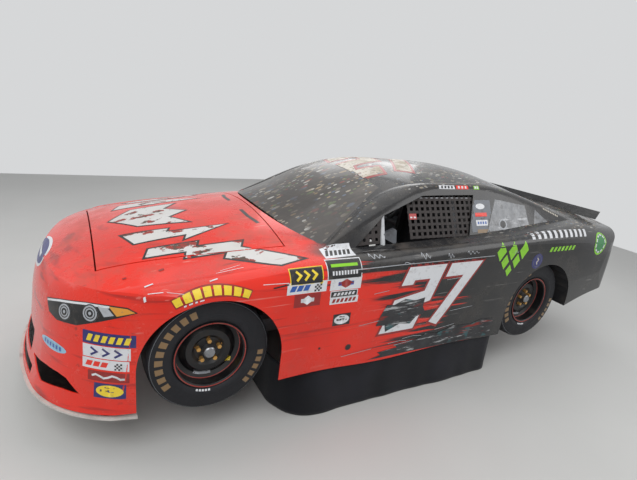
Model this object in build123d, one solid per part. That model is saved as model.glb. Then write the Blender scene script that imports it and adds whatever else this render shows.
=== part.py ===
"""Full-size oval-track stock car, standing on four short steel stands with a black cloth skirt.

Millimetres. While a piece is drawn, X runs forward from the front axle, Y to the car's left and Z up
from the bottom of the tyres. On export everything moves by one shift, so that the origin lies on the
floor under the middle of the car.
"""
from build123d import *
from math import cos, radians, sin
import os

# Overall sizes
NOSE_X = 982
TAIL_X = -3994
WHEELBASE = 2794
HALF_WIDTH = 979
SPLITTER_TOP_Z = 73
SPLITTER_T = 13
LIFT = 210              # the floor lies this far below the tyres
SKIN = 6                # thickness of the sheet body panels
PANEL_GAP = 0.3         # between fixed panels
LID_GAP = 8             # round the hood and the deck lid
SEAT_GAP = 0.3          # between pieces that rest on each other
BALL_GAP = 0.6          # between the halves of a ball joint

# Wheels and tyres
TYRE_R = 353
TYRE_HALF = 143
WHEEL_Y = 775
RIM_R = 200             # bead seat
LIP_R = 208
RIM_HALF = 134
RIM_WALL = 7
DISC_Y = 62             # the wheel disc's outer face, from the wheel's middle
HUB_R = 74
LUG_CIRCLE_R = 63.5
LUGS = 5
KINGPIN_Y = 668
REAR_X = -WHEELBASE
BRAKE_R = 150
HUB_BACK_Y = WHEEL_Y - 30
ARM_LOW_Z = TYRE_R - 140
ARM_HIGH_Z = TYRE_R + 140
STEER_ARM = 140
STEER_ARM_Z = TYRE_R - 45

# Seams of the body
NOSE_SEAM_X = 560
HOOD_REAR_X = -476
HOOD_FRONT_HALF = 600
HOOD_REAR_HALF = 715
DOOR_SEAM_X = -640
QUARTER_SEAM_X = -2310
LID_FRONT_X = -3350
LID_REAR_X = -3850
LID_FRONT_HALF = 640
LID_REAR_HALF = 735
TAIL_SEAM_X = -3760

# Wheel arches
ARCH_FRONT_X, ARCH_FRONT_Z, ARCH_FRONT_R = -5, 318, 404
ARCH_REAR_X, ARCH_REAR_Z, ARCH_REAR_R = -2828, 290, 421

# Chassis
RAIL_W, RAIL_H = 76, 100
RAIL_Z = 200            # middle of the main rails
RAIL_TOP = RAIL_Z + RAIL_H / 2
RAIL_Y = 690
CLIP_X = -650           # the main rails' front end
KICK_X = -2350          # their rear end
STUB_Y = 385
STUB_FRONT_X = 700
REAR_STUB_Y = 430
STUB_REAR_X = -3620
KICK_Z = 520            # middle of the raised rear rails
FLOOR_T = 4
FIREWALL_X = -640
FLOOR_REAR_X = -2250
FLOOR_HALF = 640
TUNNEL_HALF, TUNNEL_H = 130, 166
ENGINE_REAR_X = -600
CRANK_Z = 340
BELL_R = 190
GEARBOX_REAR_X = -1150

# Roll cage, as routes of its left half
CAGE_R = 22
THIN_R = 19
WELD = 0.5
HOOP_X = -1960
POST_X = -760
DASH_BAR_Z = 800
DOOR_BAR_Y = 845
DOOR_BAR_Z = (360, 500, 640, 780)
HOOP = [(HOOP_X, RAIL_Y, RAIL_Z), (HOOP_X, RAIL_Y, 900), (HOOP_X, 575, 1175), (HOOP_X, 470, 1262),
        (HOOP_X, 0, 1262)]
HALO = [(POST_X, RAIL_Y, RAIL_Z), (POST_X, RAIL_Y, 820), (-1330, 450, 1218), (HOOP_X, 470, 1262)]
STAY = [(HOOP_X, 425, 1262), (-2560, REAR_STUB_Y, 562)]
DECK_BRACE = [(-2250, 427, 924), (-3400, REAR_STUB_Y, 562)]
NOSE_BAR = [(POST_X, 560, DASH_BAR_Z), (560, 400, 560), (560, STUB_Y, RAIL_Z)]
SEAT_Y = 400
WHEEL_HUB = (-1085, 395, 862)
COLUMN_FOOT = (FIREWALL_X - FLOOR_T - SEAT_GAP, 375, 690)

# Window net
NET_FRONT_X = -1420
NET_Y = 785.6
NET_Z = 938
NET_LEAN = 25.3
NET_LENGTH, NET_HEIGHT = 696, 296
NET_GAPS_X, NET_GAPS_Z = 13, 6
NET_WEB_X, NET_WEB_Z = 30, 24
FRONT_NET = [(-880, 893), (-1136, 893), (-1180, 1122), (-1172, 1122)]
FRONT_NET_HOLES = [(-980, 1), (-1030, 1), (-1080, 2), (-1130, 3)]    # x, holes one above the other

# Stand and skirt
STAND_X = (-760, -2180)
STAND_PLATE = 300
STAND_PLATE_T = 12
STAND_POST = 100
STAND_BOLT_GRID = 230
STAND_BOLT_R = 9
SKIRT_T = 6
SKIRT_Y = 961.1
SKIRT_FRONT_X = -446
SKIRT_REAR_X = -2412
SKIRT_TOP_Z = 142

# Stations of the lower body, from nose to tail: half widths and heights
# of the sill, the widest line, the crease, the deck's edge, and the middle's height
BODY_STATIONS = [
    # x, y_sill, z_sill, y_wide, z_wide, y_crease, z_crease, y_deck, z_deck, z_middle
    (1060, 925, 74, 930, 200, 915, 380, 770, 470, 520),
    (800, 930, 77, 938, 300, 925, 560, 780, 660, 742),
    (600, 936, 85, 946, 330, 936, 642, 795, 738, 835),
    (393, 948, 94, 957, 350, 950, 690, 820, 780, 893),
    (0, 964, 110, 975, 400, 974, 735, 850, 825, 950),
    (-405, 966, 133, 976, 420, 978, 760, 868, 868, 995),
    (-900, 966, 131, 976, 430, HALF_WIDTH, 798, 876, 900, 1018),
    (-1500, 966, 128, 976, 440, HALF_WIDTH, 862, 880, 915, 1030),
    (-2200, 966, 124, 976, 450, HALF_WIDTH, 905, 880, 940, 1050),
    (-2794, 966, 150, 977, 480, 978, 902, 868, 990, 1062),
    (-3200, 962, 255, 975, 520, 972, 885, 840, 1010, 1062),
    (-3640, 946, 360, 957, 560, 950, 855, 800, 988, 1046),
    (-4060, 915, 440, 926, 600, 915, 815, 765, 945, 1000),
]

# Stations of the greenhouse: base, roof rail, roof edge and middle
ROOF_STATIONS = [
    # x, y_base, y_rail, z_rail, y_edge, z_edge, z_middle
    (-380, 800, 780, 790, 700, 840, 930),
    (-670, 860, 825, 868, 790, 888, 1076),
    (-900, 875, 790, 985, 695, 1025, 1180),
    (-1200, 880, 735, 1120, 590, 1200, 1305),
    (-1600, 880, 668, 1235, 560, 1292, 1368),
    (-2000, 880, 655, 1250, 560, 1300, 1362),
    (-2450, 878, 670, 1215, 565, 1275, 1335),
    (-2900, 872, 705, 1115, 605, 1160, 1198),
    (-3150, 862, 725, 1055, 635, 1082, 1106),
    (-3350, 850, 738, 1005, 655, 1018, 1042),
    (-3550, 840, 745, 950, 665, 952, 975),
]
ROOF_BASE_Z = 780

# The nose and tail in plan, at rising heights
PLAN_LEVELS = [
    # z, x_nose, x_tail
    (0, 975, -3960),
    (143, 947, -3972),
    (380, 898, -3990),
    (540, 882, TAIL_X),
    (700, 836, -3990),
    (860, 700, -3975),
    (1100, 400, -3930),
]

# Window outlines from the side, and from above
SIDE_WINDOW = [(-935, 915), (-1990, 940), (-2088, 1232), (-1560, 1226), (-1190, 1105)]
QUARTER_WINDOWS = [
    [(-2200, 968), (-2720, 990), (-2700, 1150), (-2330, 1200)],
    [(-2790, 995), (-3010, 1004), (-2830, 1116)],
]
WINDSHIELD = dict(base_x=-665, base_y=775, base_mid=-525, top_x=-1278, top_y=520, top_mid=-1215)
REAR_WINDOW = dict(base_x=-3150, base_y=590, base_mid=-3200, top_x=-2490, top_y=515, top_mid=-2462)


def box(x0, x1, y0, y1, z0, z1):
    """A box between two corners."""
    size = (abs(x1 - x0), abs(y1 - y0), abs(z1 - z0))
    middle = ((x0 + x1) / 2, (y0 + y1) / 2, (z0 + z1) / 2)
    return Pos(*middle) * Box(*size)


def side_prism(points, y0, y1):
    """An (x, z) outline pulled along Y."""
    face = make_face(Polyline([(x, y0, z) for x, z in points], close=True))
    return extrude(face, amount=y1 - y0, dir=(0, 1, 0))


def plan_prism(points, z0, z1):
    """An (x, y) outline pulled along Z."""
    face = make_face(Polyline([(x, y, z0) for x, y in points], close=True))
    return extrude(face, amount=z1 - z0, dir=(0, 0, 1))


def arc(a, b, c):
    return Edge.make_three_point_arc(Vector(*a), Vector(*b), Vector(*c))


def line(a, b):
    return Edge.make_line(Vector(*a), Vector(*b))


def bulge(a, b, dy, dz):
    """An arc from a to b with its middle moved out."""
    middle = (a[0], (a[1] + b[1]) / 2 + dy, (a[2] + b[2]) / 2 + dz)
    return arc(a, middle, b)


def tube(start, end, r):
    """A straight round bar between two points."""
    a, b = Vector(*start), Vector(*end)
    return Solid.make_cylinder(r, (b - a).length, Plane(origin=a, z_dir=b - a))


def run(points, r):
    """A round bar along a route, with a ball that stands a little proud at each corner, as a weld does."""
    bars = [tube(a, b, r) for a, b in zip(points, points[1:])]
    return fused(bars + [Pos(*p) * Sphere(r + WELD) for p in points[1:-1]])


def mirrored(shape):
    return mirror(shape, about=Plane.XZ)


def both(shape):
    return [shape, mirrored(shape)]


def fused(shapes):
    """One solid from many that touch."""
    first, *rest = shapes
    return first.fuse(*rest)


def body_section(station, inset=0.0, drop=0.0):
    x, y_sill, z_sill, y_wide, z_wide, y_crease, z_crease, y_deck, z_deck, z_middle = station
    right = [(y_sill - inset, z_sill - drop), (y_wide - inset, z_wide),
             (y_crease - inset, z_crease - 0.4 * inset), (y_deck - 0.7 * inset, z_deck - inset)]
    sill, wide, crease, deck = [(x, y, z) for y, z in right]
    sill_r, wide_r, crease_r, deck_r = [(x, -y, z) for y, z in right]
    edges = [line(sill_r, sill), line(sill, wide), line(wide, crease), bulge(crease, deck, 18, 22),
             arc(deck, (x, 0, z_middle - inset), deck_r), bulge(deck_r, crease_r, -18, 22),
             line(crease_r, wide_r), line(wide_r, sill_r)]
    return Wire(edges)


def roof_section(station, inset=0.0, drop=0.0):
    x, y_base, y_rail, z_rail, y_edge, z_edge, z_middle = station
    right = [(y_base - inset, ROOF_BASE_Z - drop), (y_rail - inset, z_rail - 0.3 * inset),
             (y_edge - 0.6 * inset, z_edge - inset)]
    base, rail, edge = [(x, y, z) for y, z in right]
    base_r, rail_r, edge_r = [(x, -y, z) for y, z in right]
    edges = [line(base_r, base), line(base, rail), bulge(rail, edge, 14, 16),
             arc(edge, (x, 0, z_middle - inset), edge_r), bulge(edge_r, rail_r, -14, 16),
             line(rail_r, base_r)]
    return Wire(edges)


def plan_section(z, x_nose, x_tail, inset=0.0):
    """Nose and tail outline from above at one height; its sides stand clear of the body."""
    clear = 1040
    front = [(x_nose - 75 - inset, 505), (x_nose - 232 - 0.75 * inset, 757 - 0.65 * inset),
             (x_nose - 461, 912 - inset), (x_nose - 1000, clear)]
    rear = [(x_tail + 900, clear), (x_tail + 205, 938 - inset),
            (x_tail + 82 + 0.7 * inset, 872 - 0.7 * inset), (x_tail + 32 + inset, 740)]
    f1, f2, f3, f4 = [(x, y, z) for x, y in front]
    r4, r3, r2, r1 = [(x, y, z) for x, y in rear]
    f1r, f2r, f3r, f4r = [(x, -y, z) for x, y in front]
    r4r, r3r, r2r, r1r = [(x, -y, z) for x, y in rear]
    edges = [arc(f1r, (x_nose - inset, 0, z), f1), arc(f1, f2, f3), line(f3, f4), line(f4, r4), line(r4, r3),
             arc(r3, r2, r1), arc(r1, (x_tail + inset, 0, z), r1r), arc(r1r, r2r, r3r), line(r3r, r4r),
             line(r4r, f4r), line(f4r, f3r), arc(f3r, f2r, f1r)]
    return Wire(edges)


def window_zone(w):
    """A windshield or rear window outline from above, with curved ends, as a tall prism."""
    z0, z1 = ROOF_BASE_Z, 1500
    base, base_r = (w["base_x"], w["base_y"], z0), (w["base_x"], -w["base_y"], z0)
    top, top_r = (w["top_x"], w["top_y"], z0), (w["top_x"], -w["top_y"], z0)
    edges = [arc(base_r, (w["base_mid"], 0, z0), base), line(base, top),
             arc(top, (w["top_mid"], 0, z0), top_r), line(top_r, base_r)]
    return extrude(Face(Wire(edges)), amount=z1 - z0, dir=(0, 0, 1))


def arch_zone(x, z, r):
    """The wheel opening: a round top over straight sides, on both flanks."""
    opening = extrude(Plane((x, 0, z), x_dir=(1, 0, 0), z_dir=(0, -1, 0)) * Circle(r), amount=1200, both=True)
    return opening + box(x - r, x + r, -1200, 1200, 0, z) - box(x - 600, x + 600, -500, 500, 0, 1000)


def lid_zone(front_x, rear_x, front_half, rear_half, grow=0.0):
    """The plan of the hood or deck lid, or of the hole that it lies in."""
    step = grow if front_x > rear_x else -grow
    points = [(front_x + step, front_half + grow), (rear_x - step, rear_half + grow),
              (rear_x - step, -rear_half - grow), (front_x + step, -front_half - grow)]
    return plan_prism(points, 600, 1300)


def inside_plan(gap=0.0):
    """The space between the insides of nose and tail, run on below the sills."""
    levels = [(-100, NOSE_X, TAIL_X + 30), *PLAN_LEVELS[1:]]
    return Solid.make_loft([plan_section(*level, SKIN + gap) for level in levels])


def inside_body(gap=0.0):
    """The space inside the lower body, open at the bottom, kept a gap away from the panels."""
    inner = Solid.make_loft([body_section(s, SKIN + gap, 60) for s in BODY_STATIONS])
    return inner & inside_plan(gap)


def inside_roof(gap=0.0):
    """The space inside the greenhouse, kept a gap away from its skin."""
    return Solid.make_loft([roof_section(s, SKIN + gap, 30) for s in ROOF_STATIONS])


def body_panels():
    """The whole skin of the car, cut where the real panels meet."""
    outer = Solid.make_loft([body_section(s) for s in BODY_STATIONS])
    solid = outer & Solid.make_loft([plan_section(*level) for level in PLAN_LEVELS])
    shell = solid - inside_body()
    dome = Solid.make_loft([roof_section(s) for s in ROOF_STATIONS])
    arches = [arch_zone(ARCH_FRONT_X, ARCH_FRONT_Z, ARCH_FRONT_R),
              arch_zone(ARCH_REAR_X, ARCH_REAR_Z, ARCH_REAR_R)]
    low = shell - dome - arches[0] - arches[1]
    panels = {}
    lid_size = (LID_FRONT_X, LID_REAR_X, LID_FRONT_HALF, LID_REAR_HALF)
    hood_size = (NOSE_SEAM_X - LID_GAP, HOOD_REAR_X, HOOD_FRONT_HALF, HOOD_REAR_HALF)

    front = low & box(DOOR_SEAM_X + PANEL_GAP, 1200, -1100, 1100, 0, 1200)
    nose_side = [(320, 0), (320, 560), (NOSE_SEAM_X, 640), (NOSE_SEAM_X, 1200), (1200, 1200), (1200, 0)]
    nose_zone = side_prism(nose_side, -1100, 1100)
    under_nose = box(0, 1200, -1100, 1100, 0, SPLITTER_TOP_Z + SEAT_GAP)
    panels["nose_cover"] = (front & nose_zone) - nose_openings() - under_nose
    front = front - Pos(-PANEL_GAP, 0, 0) * nose_zone
    panels["hood"] = front & lid_zone(*hood_size)
    front = front - lid_zone(*hood_size, LID_GAP)
    cowl_zone = box(DOOR_SEAM_X, HOOD_REAR_X, -HOOD_REAR_HALF, HOOD_REAR_HALF, 600, 1200)
    panels["cowl"] = front & cowl_zone
    front = front - cowl_zone
    panels["fender_left"] = front & box(-1200, 1200, 0, 1200, 0, 1200)
    panels["fender_right"] = front & box(-1200, 1200, -1200, 0, 0, 1200)

    middle = low & box(QUARTER_SEAM_X + PANEL_GAP, DOOR_SEAM_X, -1100, 1100, 0, 1200)
    panels["side_left"] = middle & box(-3000, 0, 0, 1200, 0, 1200)
    panels["side_right"] = middle & box(-3000, 0, -1200, 0, 0, 1200)

    rear = low & box(-4200, QUARTER_SEAM_X, -1100, 1100, 0, 1200)
    panels["deck_lid"] = rear & lid_zone(*lid_size)
    panels["spoiler"] = spoiler() - solid
    rear = rear - lid_zone(*lid_size, LID_GAP)
    tail_zone = box(-4200, TAIL_SEAM_X - PANEL_GAP, -1100, 1100, 0, 1200)
    panels["tail_cover"] = rear & tail_zone
    rear = rear & box(TAIL_SEAM_X, 0, -1100, 1100, 0, 1200)
    filler_zone = box(LID_FRONT_X + LID_GAP, -3100, -LID_FRONT_HALF, LID_FRONT_HALF, 900, 1200)
    panels["deck_filler"] = rear & filler_zone
    rear = rear - filler_zone
    panels["quarter_left"] = rear & box(-4200, 0, 0, 1200, 0, 1200)
    panels["quarter_right"] = rear & box(-4200, 0, -1200, 0, 0, 1200)

    house = dome - inside_roof() - solid - lid_zone(*lid_size, LID_GAP)
    small_cuts = [side_prism(points, -1100, 1100) for points in QUARTER_WINDOWS]
    shield, back = window_zone(WINDSHIELD), window_zone(REAR_WINDOW)
    panels["windshield"] = house & shield
    panels["rear_window"] = house & back
    panels["quarter_windows"] = [(house & cut) - shield - back for cut in small_cuts]
    roof = house - shield - back - side_prism(SIDE_WINDOW, -1100, 1100)
    for cut in small_cuts:
        roof = roof - cut
    panels["roof"] = max(roof.solids(), key=lambda piece: piece.volume)
    return panels


def nose_openings():
    """The centre grille, the air slot under it and the two brake ducts."""
    centre = box(700, 1100, -330, 330, 205, 345)
    slot = box(700, 1100, -420, 420, 110, 165)
    duct = [(391, 231), (576, 256), (674, 256), (724, 245), (800, 181), (708, 178), (561, 150)]
    ducts = []
    for side in (1, -1):
        face = make_face(Polyline([(600, side * y, z) for y, z in duct], close=True))
        ducts.append(extrude(face, amount=500, dir=(1, 0, 0)))
    return Compound([centre, slot, *ducts])


def splitter():
    """The flat blade under the nose, standing a little ahead of the fascia."""
    face = Face(plan_section(SPLITTER_TOP_Z, NOSE_X, TAIL_X))
    blade = extrude(face, amount=SPLITTER_T, dir=(0, 0, -1))
    inside = plan_prism([(300, -700), (640, -560), (640, 560), (300, 700)], 0, 100)
    return (blade & box(393, 1100, -945, 945, 0, 200)) - inside


def grille():
    """The curved mesh close behind the centre opening: a frame with upright and level bars."""
    half, low, high, rim, bar = 345, 190, 360, 18, 6
    hole = box(500, 1200, rim - half, half - rim, low + rim, high - rim)
    frame = box(600, 1100, -half, half, low, high) - hole
    uprights = [box(600, 1100, y - bar / 2, y + bar / 2, low + rim, high - rim) for y in range(-270, 271, 60)]
    level = [box(600, 1100, rim - half, half - rim, z - bar / 2, z + bar / 2) for z in (235, 275, 315)]
    return (inside_plan(SEAT_GAP) & fused([frame, *uprights, *level])) - inside_plan(SEAT_GAP + SKIN)


def window_net():
    """The net inside the left side window, on a rod, and the net sheet behind the front pillar."""
    pitch_x = (NET_LENGTH - NET_WEB_X) / NET_GAPS_X
    pitch_z = (NET_HEIGHT - NET_WEB_Z) / NET_GAPS_Z
    webs = [box(-k * pitch_x - NET_WEB_X, -k * pitch_x, 0, 3, 0, NET_HEIGHT) for k in range(NET_GAPS_X + 1)]
    webs += [box(-NET_LENGTH, 0, 0, 3, k * pitch_z, k * pitch_z + NET_WEB_Z) for k in range(NET_GAPS_Z + 1)]
    net = fused([*webs, tube((-NET_LENGTH - 10, -5, NET_HEIGHT), (40, -5, NET_HEIGHT), 7)])
    net = Pos(NET_FRONT_X, NET_Y, NET_Z) * Rot(NET_LEAN, 0, 0) * net
    sheet = side_prism(FRONT_NET, 600, 1000) & (inside_roof(SEAT_GAP) - inside_roof(SEAT_GAP + 3))
    sheet = sheet - inside_body(-SKIN - SEAT_GAP)
    for x, count in FRONT_NET_HOLES:
        for k in range(count):
            z = 943 + k * pitch_z
            sheet = sheet - box(x, x + pitch_x - NET_WEB_X, 600, 1000, z, z + pitch_z - NET_WEB_Z)
    return [net, sheet]


def level_rail(x0, x1, y, z):
    """One rail of the frame along the car."""
    return box(x0, x1, y - RAIL_W / 2, y + RAIL_W / 2, z - RAIL_H / 2, z + RAIL_H / 2)


def cross_rail(x, half, z):
    """One rail across the car, from x forward."""
    return box(x, x + RAIL_W, -half, half, z - RAIL_H / 2, z + RAIL_H / 2)


def frame_rails(inside):
    """Main rails under the doors with the jogs at their ends, two cross members and the side brackets."""
    edge = RAIL_W / 2
    side = [level_rail(KICK_X, CLIP_X, RAIL_Y, RAIL_Z),
            box(CLIP_X - RAIL_W, CLIP_X, STUB_Y - edge, RAIL_Y, RAIL_TOP - RAIL_H, RAIL_TOP),
            box(KICK_X - RAIL_W, KICK_X, REAR_STUB_Y - edge, RAIL_Y + edge, RAIL_TOP - RAIL_H, RAIL_TOP)]
    side += [box(x - 20, x + 20, RAIL_Y + edge - 1, 1000, 180, 200) & inside for x in (-800, -1480, -2150)]
    crosses = [cross_rail(x, RAIL_Y, RAIL_Z) for x in (-1240, -1500)]
    return fused([*both(fused(side)), *crosses])


def front_clip(inside):
    """The front stub rails with their cross member and the nose's brackets."""
    bracket = box(STUB_FRONT_X - 1, 1000, 230, 290, 166, 190) & inside
    stub = level_rail(CLIP_X + SEAT_GAP, STUB_FRONT_X, STUB_Y, RAIL_Z)
    return fused([cross_rail(STUB_FRONT_X - RAIL_W, STUB_Y, RAIL_Z), *both(stub), *both(bracket)])


def rear_clip(inside):
    """The raised rear rails on their kick-up, with cross members, the tail's brackets and the lid's posts."""
    edge, top = RAIL_W / 2, KICK_Z + RAIL_H / 2
    side = [level_rail(STUB_REAR_X, KICK_X, REAR_STUB_Y, KICK_Z),
            box(KICK_X - RAIL_W, KICK_X, REAR_STUB_Y - edge, REAR_STUB_Y + edge, RAIL_TOP + SEAT_GAP, top),
            box(-4000, STUB_REAR_X + 1, 400, 460, KICK_Z - 20, KICK_Z + 20) & inside,
            Pos(-3590, REAR_STUB_Y, KICK_Z + 300) * Cylinder(12, 600) & inside]
    crosses = [cross_rail(x, REAR_STUB_Y, KICK_Z) for x in (KICK_X - RAIL_W, STUB_REAR_X)]
    shock_bar = box(-2560, -2500, -REAR_STUB_Y, REAR_STUB_Y, KICK_Z, top)
    return fused([*both(fused(side)), *crosses, shock_bar])


def below(z):
    """Everything lower than a height."""
    return box(-4200, 1200, -1100, 1100, 0, z)


def roll_cage():
    """The main hoop behind the seat, with its cross tube and diagonal."""
    across = tube((HOOP_X, -RAIL_Y, 800), (HOOP_X, RAIL_Y, 800), THIN_R)
    diagonal = tube((HOOP_X, -RAIL_Y, 300), (HOOP_X, 340, 1262), THIN_R)
    return fused([*both(run(HOOP, CAGE_R)), across, diagonal]) - below(RAIL_TOP + SEAT_GAP)


def cage_halo():
    """The windshield posts and the roof's side tubes, with the bars across the dash and the roof."""
    bars = [tube((x, 0, z), (x, y, z), THIN_R) for x, y, z in ((POST_X, RAIL_Y, DASH_BAR_Z), HALO[2])]
    side = fused([run(HALO, CAGE_R), *bars]) - run(HOOP, CAGE_R + SEAT_GAP)
    return fused(both(side - below(RAIL_TOP + SEAT_GAP)))


def door_bars():
    """Four bars inside each door, bowed out from hoop to post and tied by two uprights."""
    y, low, high = DOOR_BAR_Y, DOOR_BAR_Z[0], DOOR_BAR_Z[-1]
    bars = [run([(HOOP_X, RAIL_Y, z), (-1760, y, z), (-1000, y, z), (POST_X, RAIL_Y, z)], CAGE_R)
            for z in DOOR_BAR_Z]
    ties = [tube((x, y, low), (x, y, high), THIN_R) for x in (-1560, -1200)]
    side = fused(bars + ties)
    for route in (HOOP, HALO):
        side = side - run(route, CAGE_R + SEAT_GAP)
    return both(side)


def rear_stays():
    """The stays from the hoop down to the rear rails, and the braces under the deck."""
    side = fused([run(STAY, CAGE_R), run(DECK_BRACE, THIN_R)]) - run(HOOP, CAGE_R + SEAT_GAP)
    return both(side - below(KICK_Z + RAIL_H / 2 + SEAT_GAP))


def nose_bars(inside):
    """The bars beside the engine from dash to front rails, with a cross bar and the hood's pins."""
    knee_x, knee_y, knee_z = NOSE_BAR[1]
    pin = tube((480, 410, 575), (480, 410, 1000), 10) & inside
    across = tube((knee_x, -knee_y, knee_z), (knee_x, knee_y, knee_z), THIN_R)
    bars = fused([*both(run(NOSE_BAR, THIN_R)), across, *both(pin)])
    dash_bar = tube((POST_X, -RAIL_Y, DASH_BAR_Z), (POST_X, RAIL_Y, DASH_BAR_Z), THIN_R + SEAT_GAP)
    return bars - dash_bar - below(RAIL_TOP + SEAT_GAP)


def floor_pan():
    """Sheet floor over the rails, with its tunnel."""
    z, t = RAIL_TOP + SEAT_GAP, FLOOR_T
    x0, x1 = FLOOR_REAR_X, FIREWALL_X - t - SEAT_GAP
    tunnel = box(x0, x1, -TUNNEL_HALF - t, TUNNEL_HALF + t, z, z + TUNNEL_H + t)
    bore = box(x0 - 1, x1 + 1, -TUNNEL_HALF, TUNNEL_HALF, z - 1, z + TUNNEL_H)
    return fused([box(x0, x1, -FLOOR_HALF, FLOOR_HALF, z, z + t), tunnel]) - bore - bell_clearance()


def bell_clearance():
    return Pos(FIREWALL_X, 0, CRANK_Z) * Rot(0, 90, 0) * Cylinder(BELL_R + 12, 170)


def firewall():
    """The sheet between engine and cabin, cut for the bell housing and the nose bars."""
    z = RAIL_TOP + SEAT_GAP
    wall = box(FIREWALL_X - FLOOR_T, FIREWALL_X, -FLOOR_HALF, FLOOR_HALF, z, 860) - bell_clearance()
    for bar in both(tube(*NOSE_BAR[:2], THIN_R + 1)):
        wall = wall - bar
    return wall


def rear_bulkhead():
    """The sheet behind the seat, standing on the floor round its tunnel."""
    z, t, gap = RAIL_TOP + FLOOR_T + 2 * SEAT_GAP, FLOOR_T, SEAT_GAP
    half = TUNNEL_HALF + t + gap
    x0, x1 = FLOOR_REAR_X, FLOOR_REAR_X + t
    tunnel = box(x0 - 1, x1 + 1, -half, half, z - 1, RAIL_TOP + TUNNEL_H + t + 2 * gap)
    return box(x0, x1, -FLOOR_HALF, FLOOR_HALF, z, 760) - tunnel


def engine_block():
    """The engine as one plain block with its air cleaner and mounts."""
    half = 250
    block = box(ENGINE_REAR_X, -60, -half, half, 235, 700)
    manifold = box(-520, -140, -120, 120, 700, 800)
    cleaner = Pos(-330, 0, 838) * Cylinder(190, 76)
    mounts = both(box(-360, -300, half - 1, STUB_Y + 20, RAIL_TOP + SEAT_GAP, RAIL_TOP + 36))
    return fused([block, manifold, cleaner, *mounts])


def gearbox():
    """Bell housing and gearbox behind the engine."""
    bell = Pos(ENGINE_REAR_X - SEAT_GAP - 50, 0, CRANK_Z) * Rot(0, 90, 0) * Cone(110, BELL_R, 100)
    return fused([bell, box(GEARBOX_REAR_X, ENGINE_REAR_X - 90, -105, 105, 275, 405)])


def radiator():
    """Core, tanks and the shroud's frame, standing on the front cross member."""
    z0 = RAIL_TOP + SEAT_GAP
    core = box(632, 684, -330, 330, z0 + 20, 540)
    tanks = [box(626, 690, s * 330, s * 385, z0 + 10, 545) for s in (1, -1)]
    feet = [box(640, 676, s * 200 - 20, s * 200 + 20, z0, z0 + 22) for s in (1, -1)]
    return fused([core, *tanks, *feet])


def fuel_cell():
    """The fuel cell's can on its hangers between the rear stubs."""
    can = box(-3530, -3040, -330, 330, 300, 560)
    hangers = [box(x, x + 30, s * 329, s * (REAR_STUB_Y - RAIL_W / 2 - SEAT_GAP), 500, 540)
               for s in (1, -1) for x in (-3480, -3140)]
    return fused([can, *hangers])


def dashboard():
    """The sheet dash under the windshield with a round-cornered instrument box."""
    outline = [(-700, 838), (-800, 850), (-930, 842), (-945, 720), (-938, 720), (-924, 835), (-800, 843),
               (-700, 831)]
    top = side_prism(outline, -640, 640)
    pod = box(-935, -850, 220, 560, 715, 845)
    axis = Vector(*WHEEL_HUB) - Vector(*COLUMN_FOOT)
    clear = Solid.make_cylinder(25, 900, Plane(origin=Vector(*COLUMN_FOOT) - axis, z_dir=axis))
    z0 = DASH_BAR_Z + THIN_R + SEAT_GAP
    feet = [box(POST_X - 10, POST_X + 10, y - 20, y + 20, z0, 842) for y in (-450, 150)]
    return fused([top, pod, *feet]) - clear


def seat():
    """The driver's bucket: base, back with side bolsters and a head surround."""
    y, w, wall = SEAT_Y, 250, 12
    side = [(-1330, 330), (-1330, 420), (-1480, 470), (-1760, 520), (-1800, 800), (-1830, 1040),
            (-1900, 1040), (-1905, 800), (-1890, 330)]
    shell = side_prism(side, y - w, y + w)
    inner = [(-1300, 450), (-1330, 434), (-1480, 482), (-1560, 420), (-1740, 400), (-1790, 420), (-1850, 800),
             (-1868, 1100), (-1300, 1100)]
    hollow = side_prism(inner, y - w + 3 * wall, y + w - 3 * wall)
    z0 = RAIL_TOP + FLOOR_T + 2 * SEAT_GAP
    feet = [box(-1840, -1420, y + s * 180 - 20, y + s * 180 + 20, z0, 332) for s in (1, -1)]
    return fused([shell - hollow, *feet])


def steering_wheel():
    """Rim, three spokes and hub, square to the column."""
    axis = Vector(*WHEEL_HUB) - Vector(*COLUMN_FOOT)
    spokes = [Rot(0, 0, a) * Pos(95, 0, 0) * Box(172, 34, 6) for a in (90, 210, 330)]
    wheel = fused([Torus(180, 14), Pos(0, 0, -6) * Cylinder(38, 24), *spokes])
    return Plane(origin=Vector(*WHEEL_HUB), z_dir=axis).location * wheel


def steering_column():
    hub, foot = Vector(*WHEEL_HUB), Vector(*COLUMN_FOOT)
    axis = (hub - foot).normalized()
    end = hub - axis * (18 + SEAT_GAP)
    bar = Solid.make_cylinder(19, (end - foot).length - 9, Plane(origin=foot + axis * 9, z_dir=axis))
    flange = box(foot.X - 20, foot.X, foot.Y - 40, foot.Y + 40, foot.Z - 40, foot.Z + 46)
    return fused([bar, flange])


def rear_axle():
    """Axle housing with its centre case, hub flanges, spring seats and arm clamps."""
    z = TYRE_R
    flange_y = HUB_BACK_Y - BALL_GAP
    housing = tube((REAR_X, -flange_y, z), (REAR_X, flange_y, z), 40)
    case = Pos(REAR_X, 0, z) * Sphere(150) & box(REAR_X - 130, REAR_X + 150, -140, 140, z - 150, z + 150)
    nose = tube((REAR_X + 100, 0, z), (REAR_X + 230, 0, z), 46)
    plates = [tube((REAR_X, s * (flange_y - 30), z), (REAR_X, s * (flange_y - 20), z), 120) for s in (1, -1)]
    seats = [box(REAR_X - 20, REAR_X + 110, s * 400, s * 480, z + 30, z + 48) for s in (1, -1)]
    return fused([housing, case, nose, *plates, *seats])


def drive_shaft():
    tilt_gap = 0.9
    start, end = (GEARBOX_REAR_X - tilt_gap, 0, CRANK_Z), (REAR_X + 230 + tilt_gap, 0, TYRE_R)
    return tube(start, end, 38)


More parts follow.
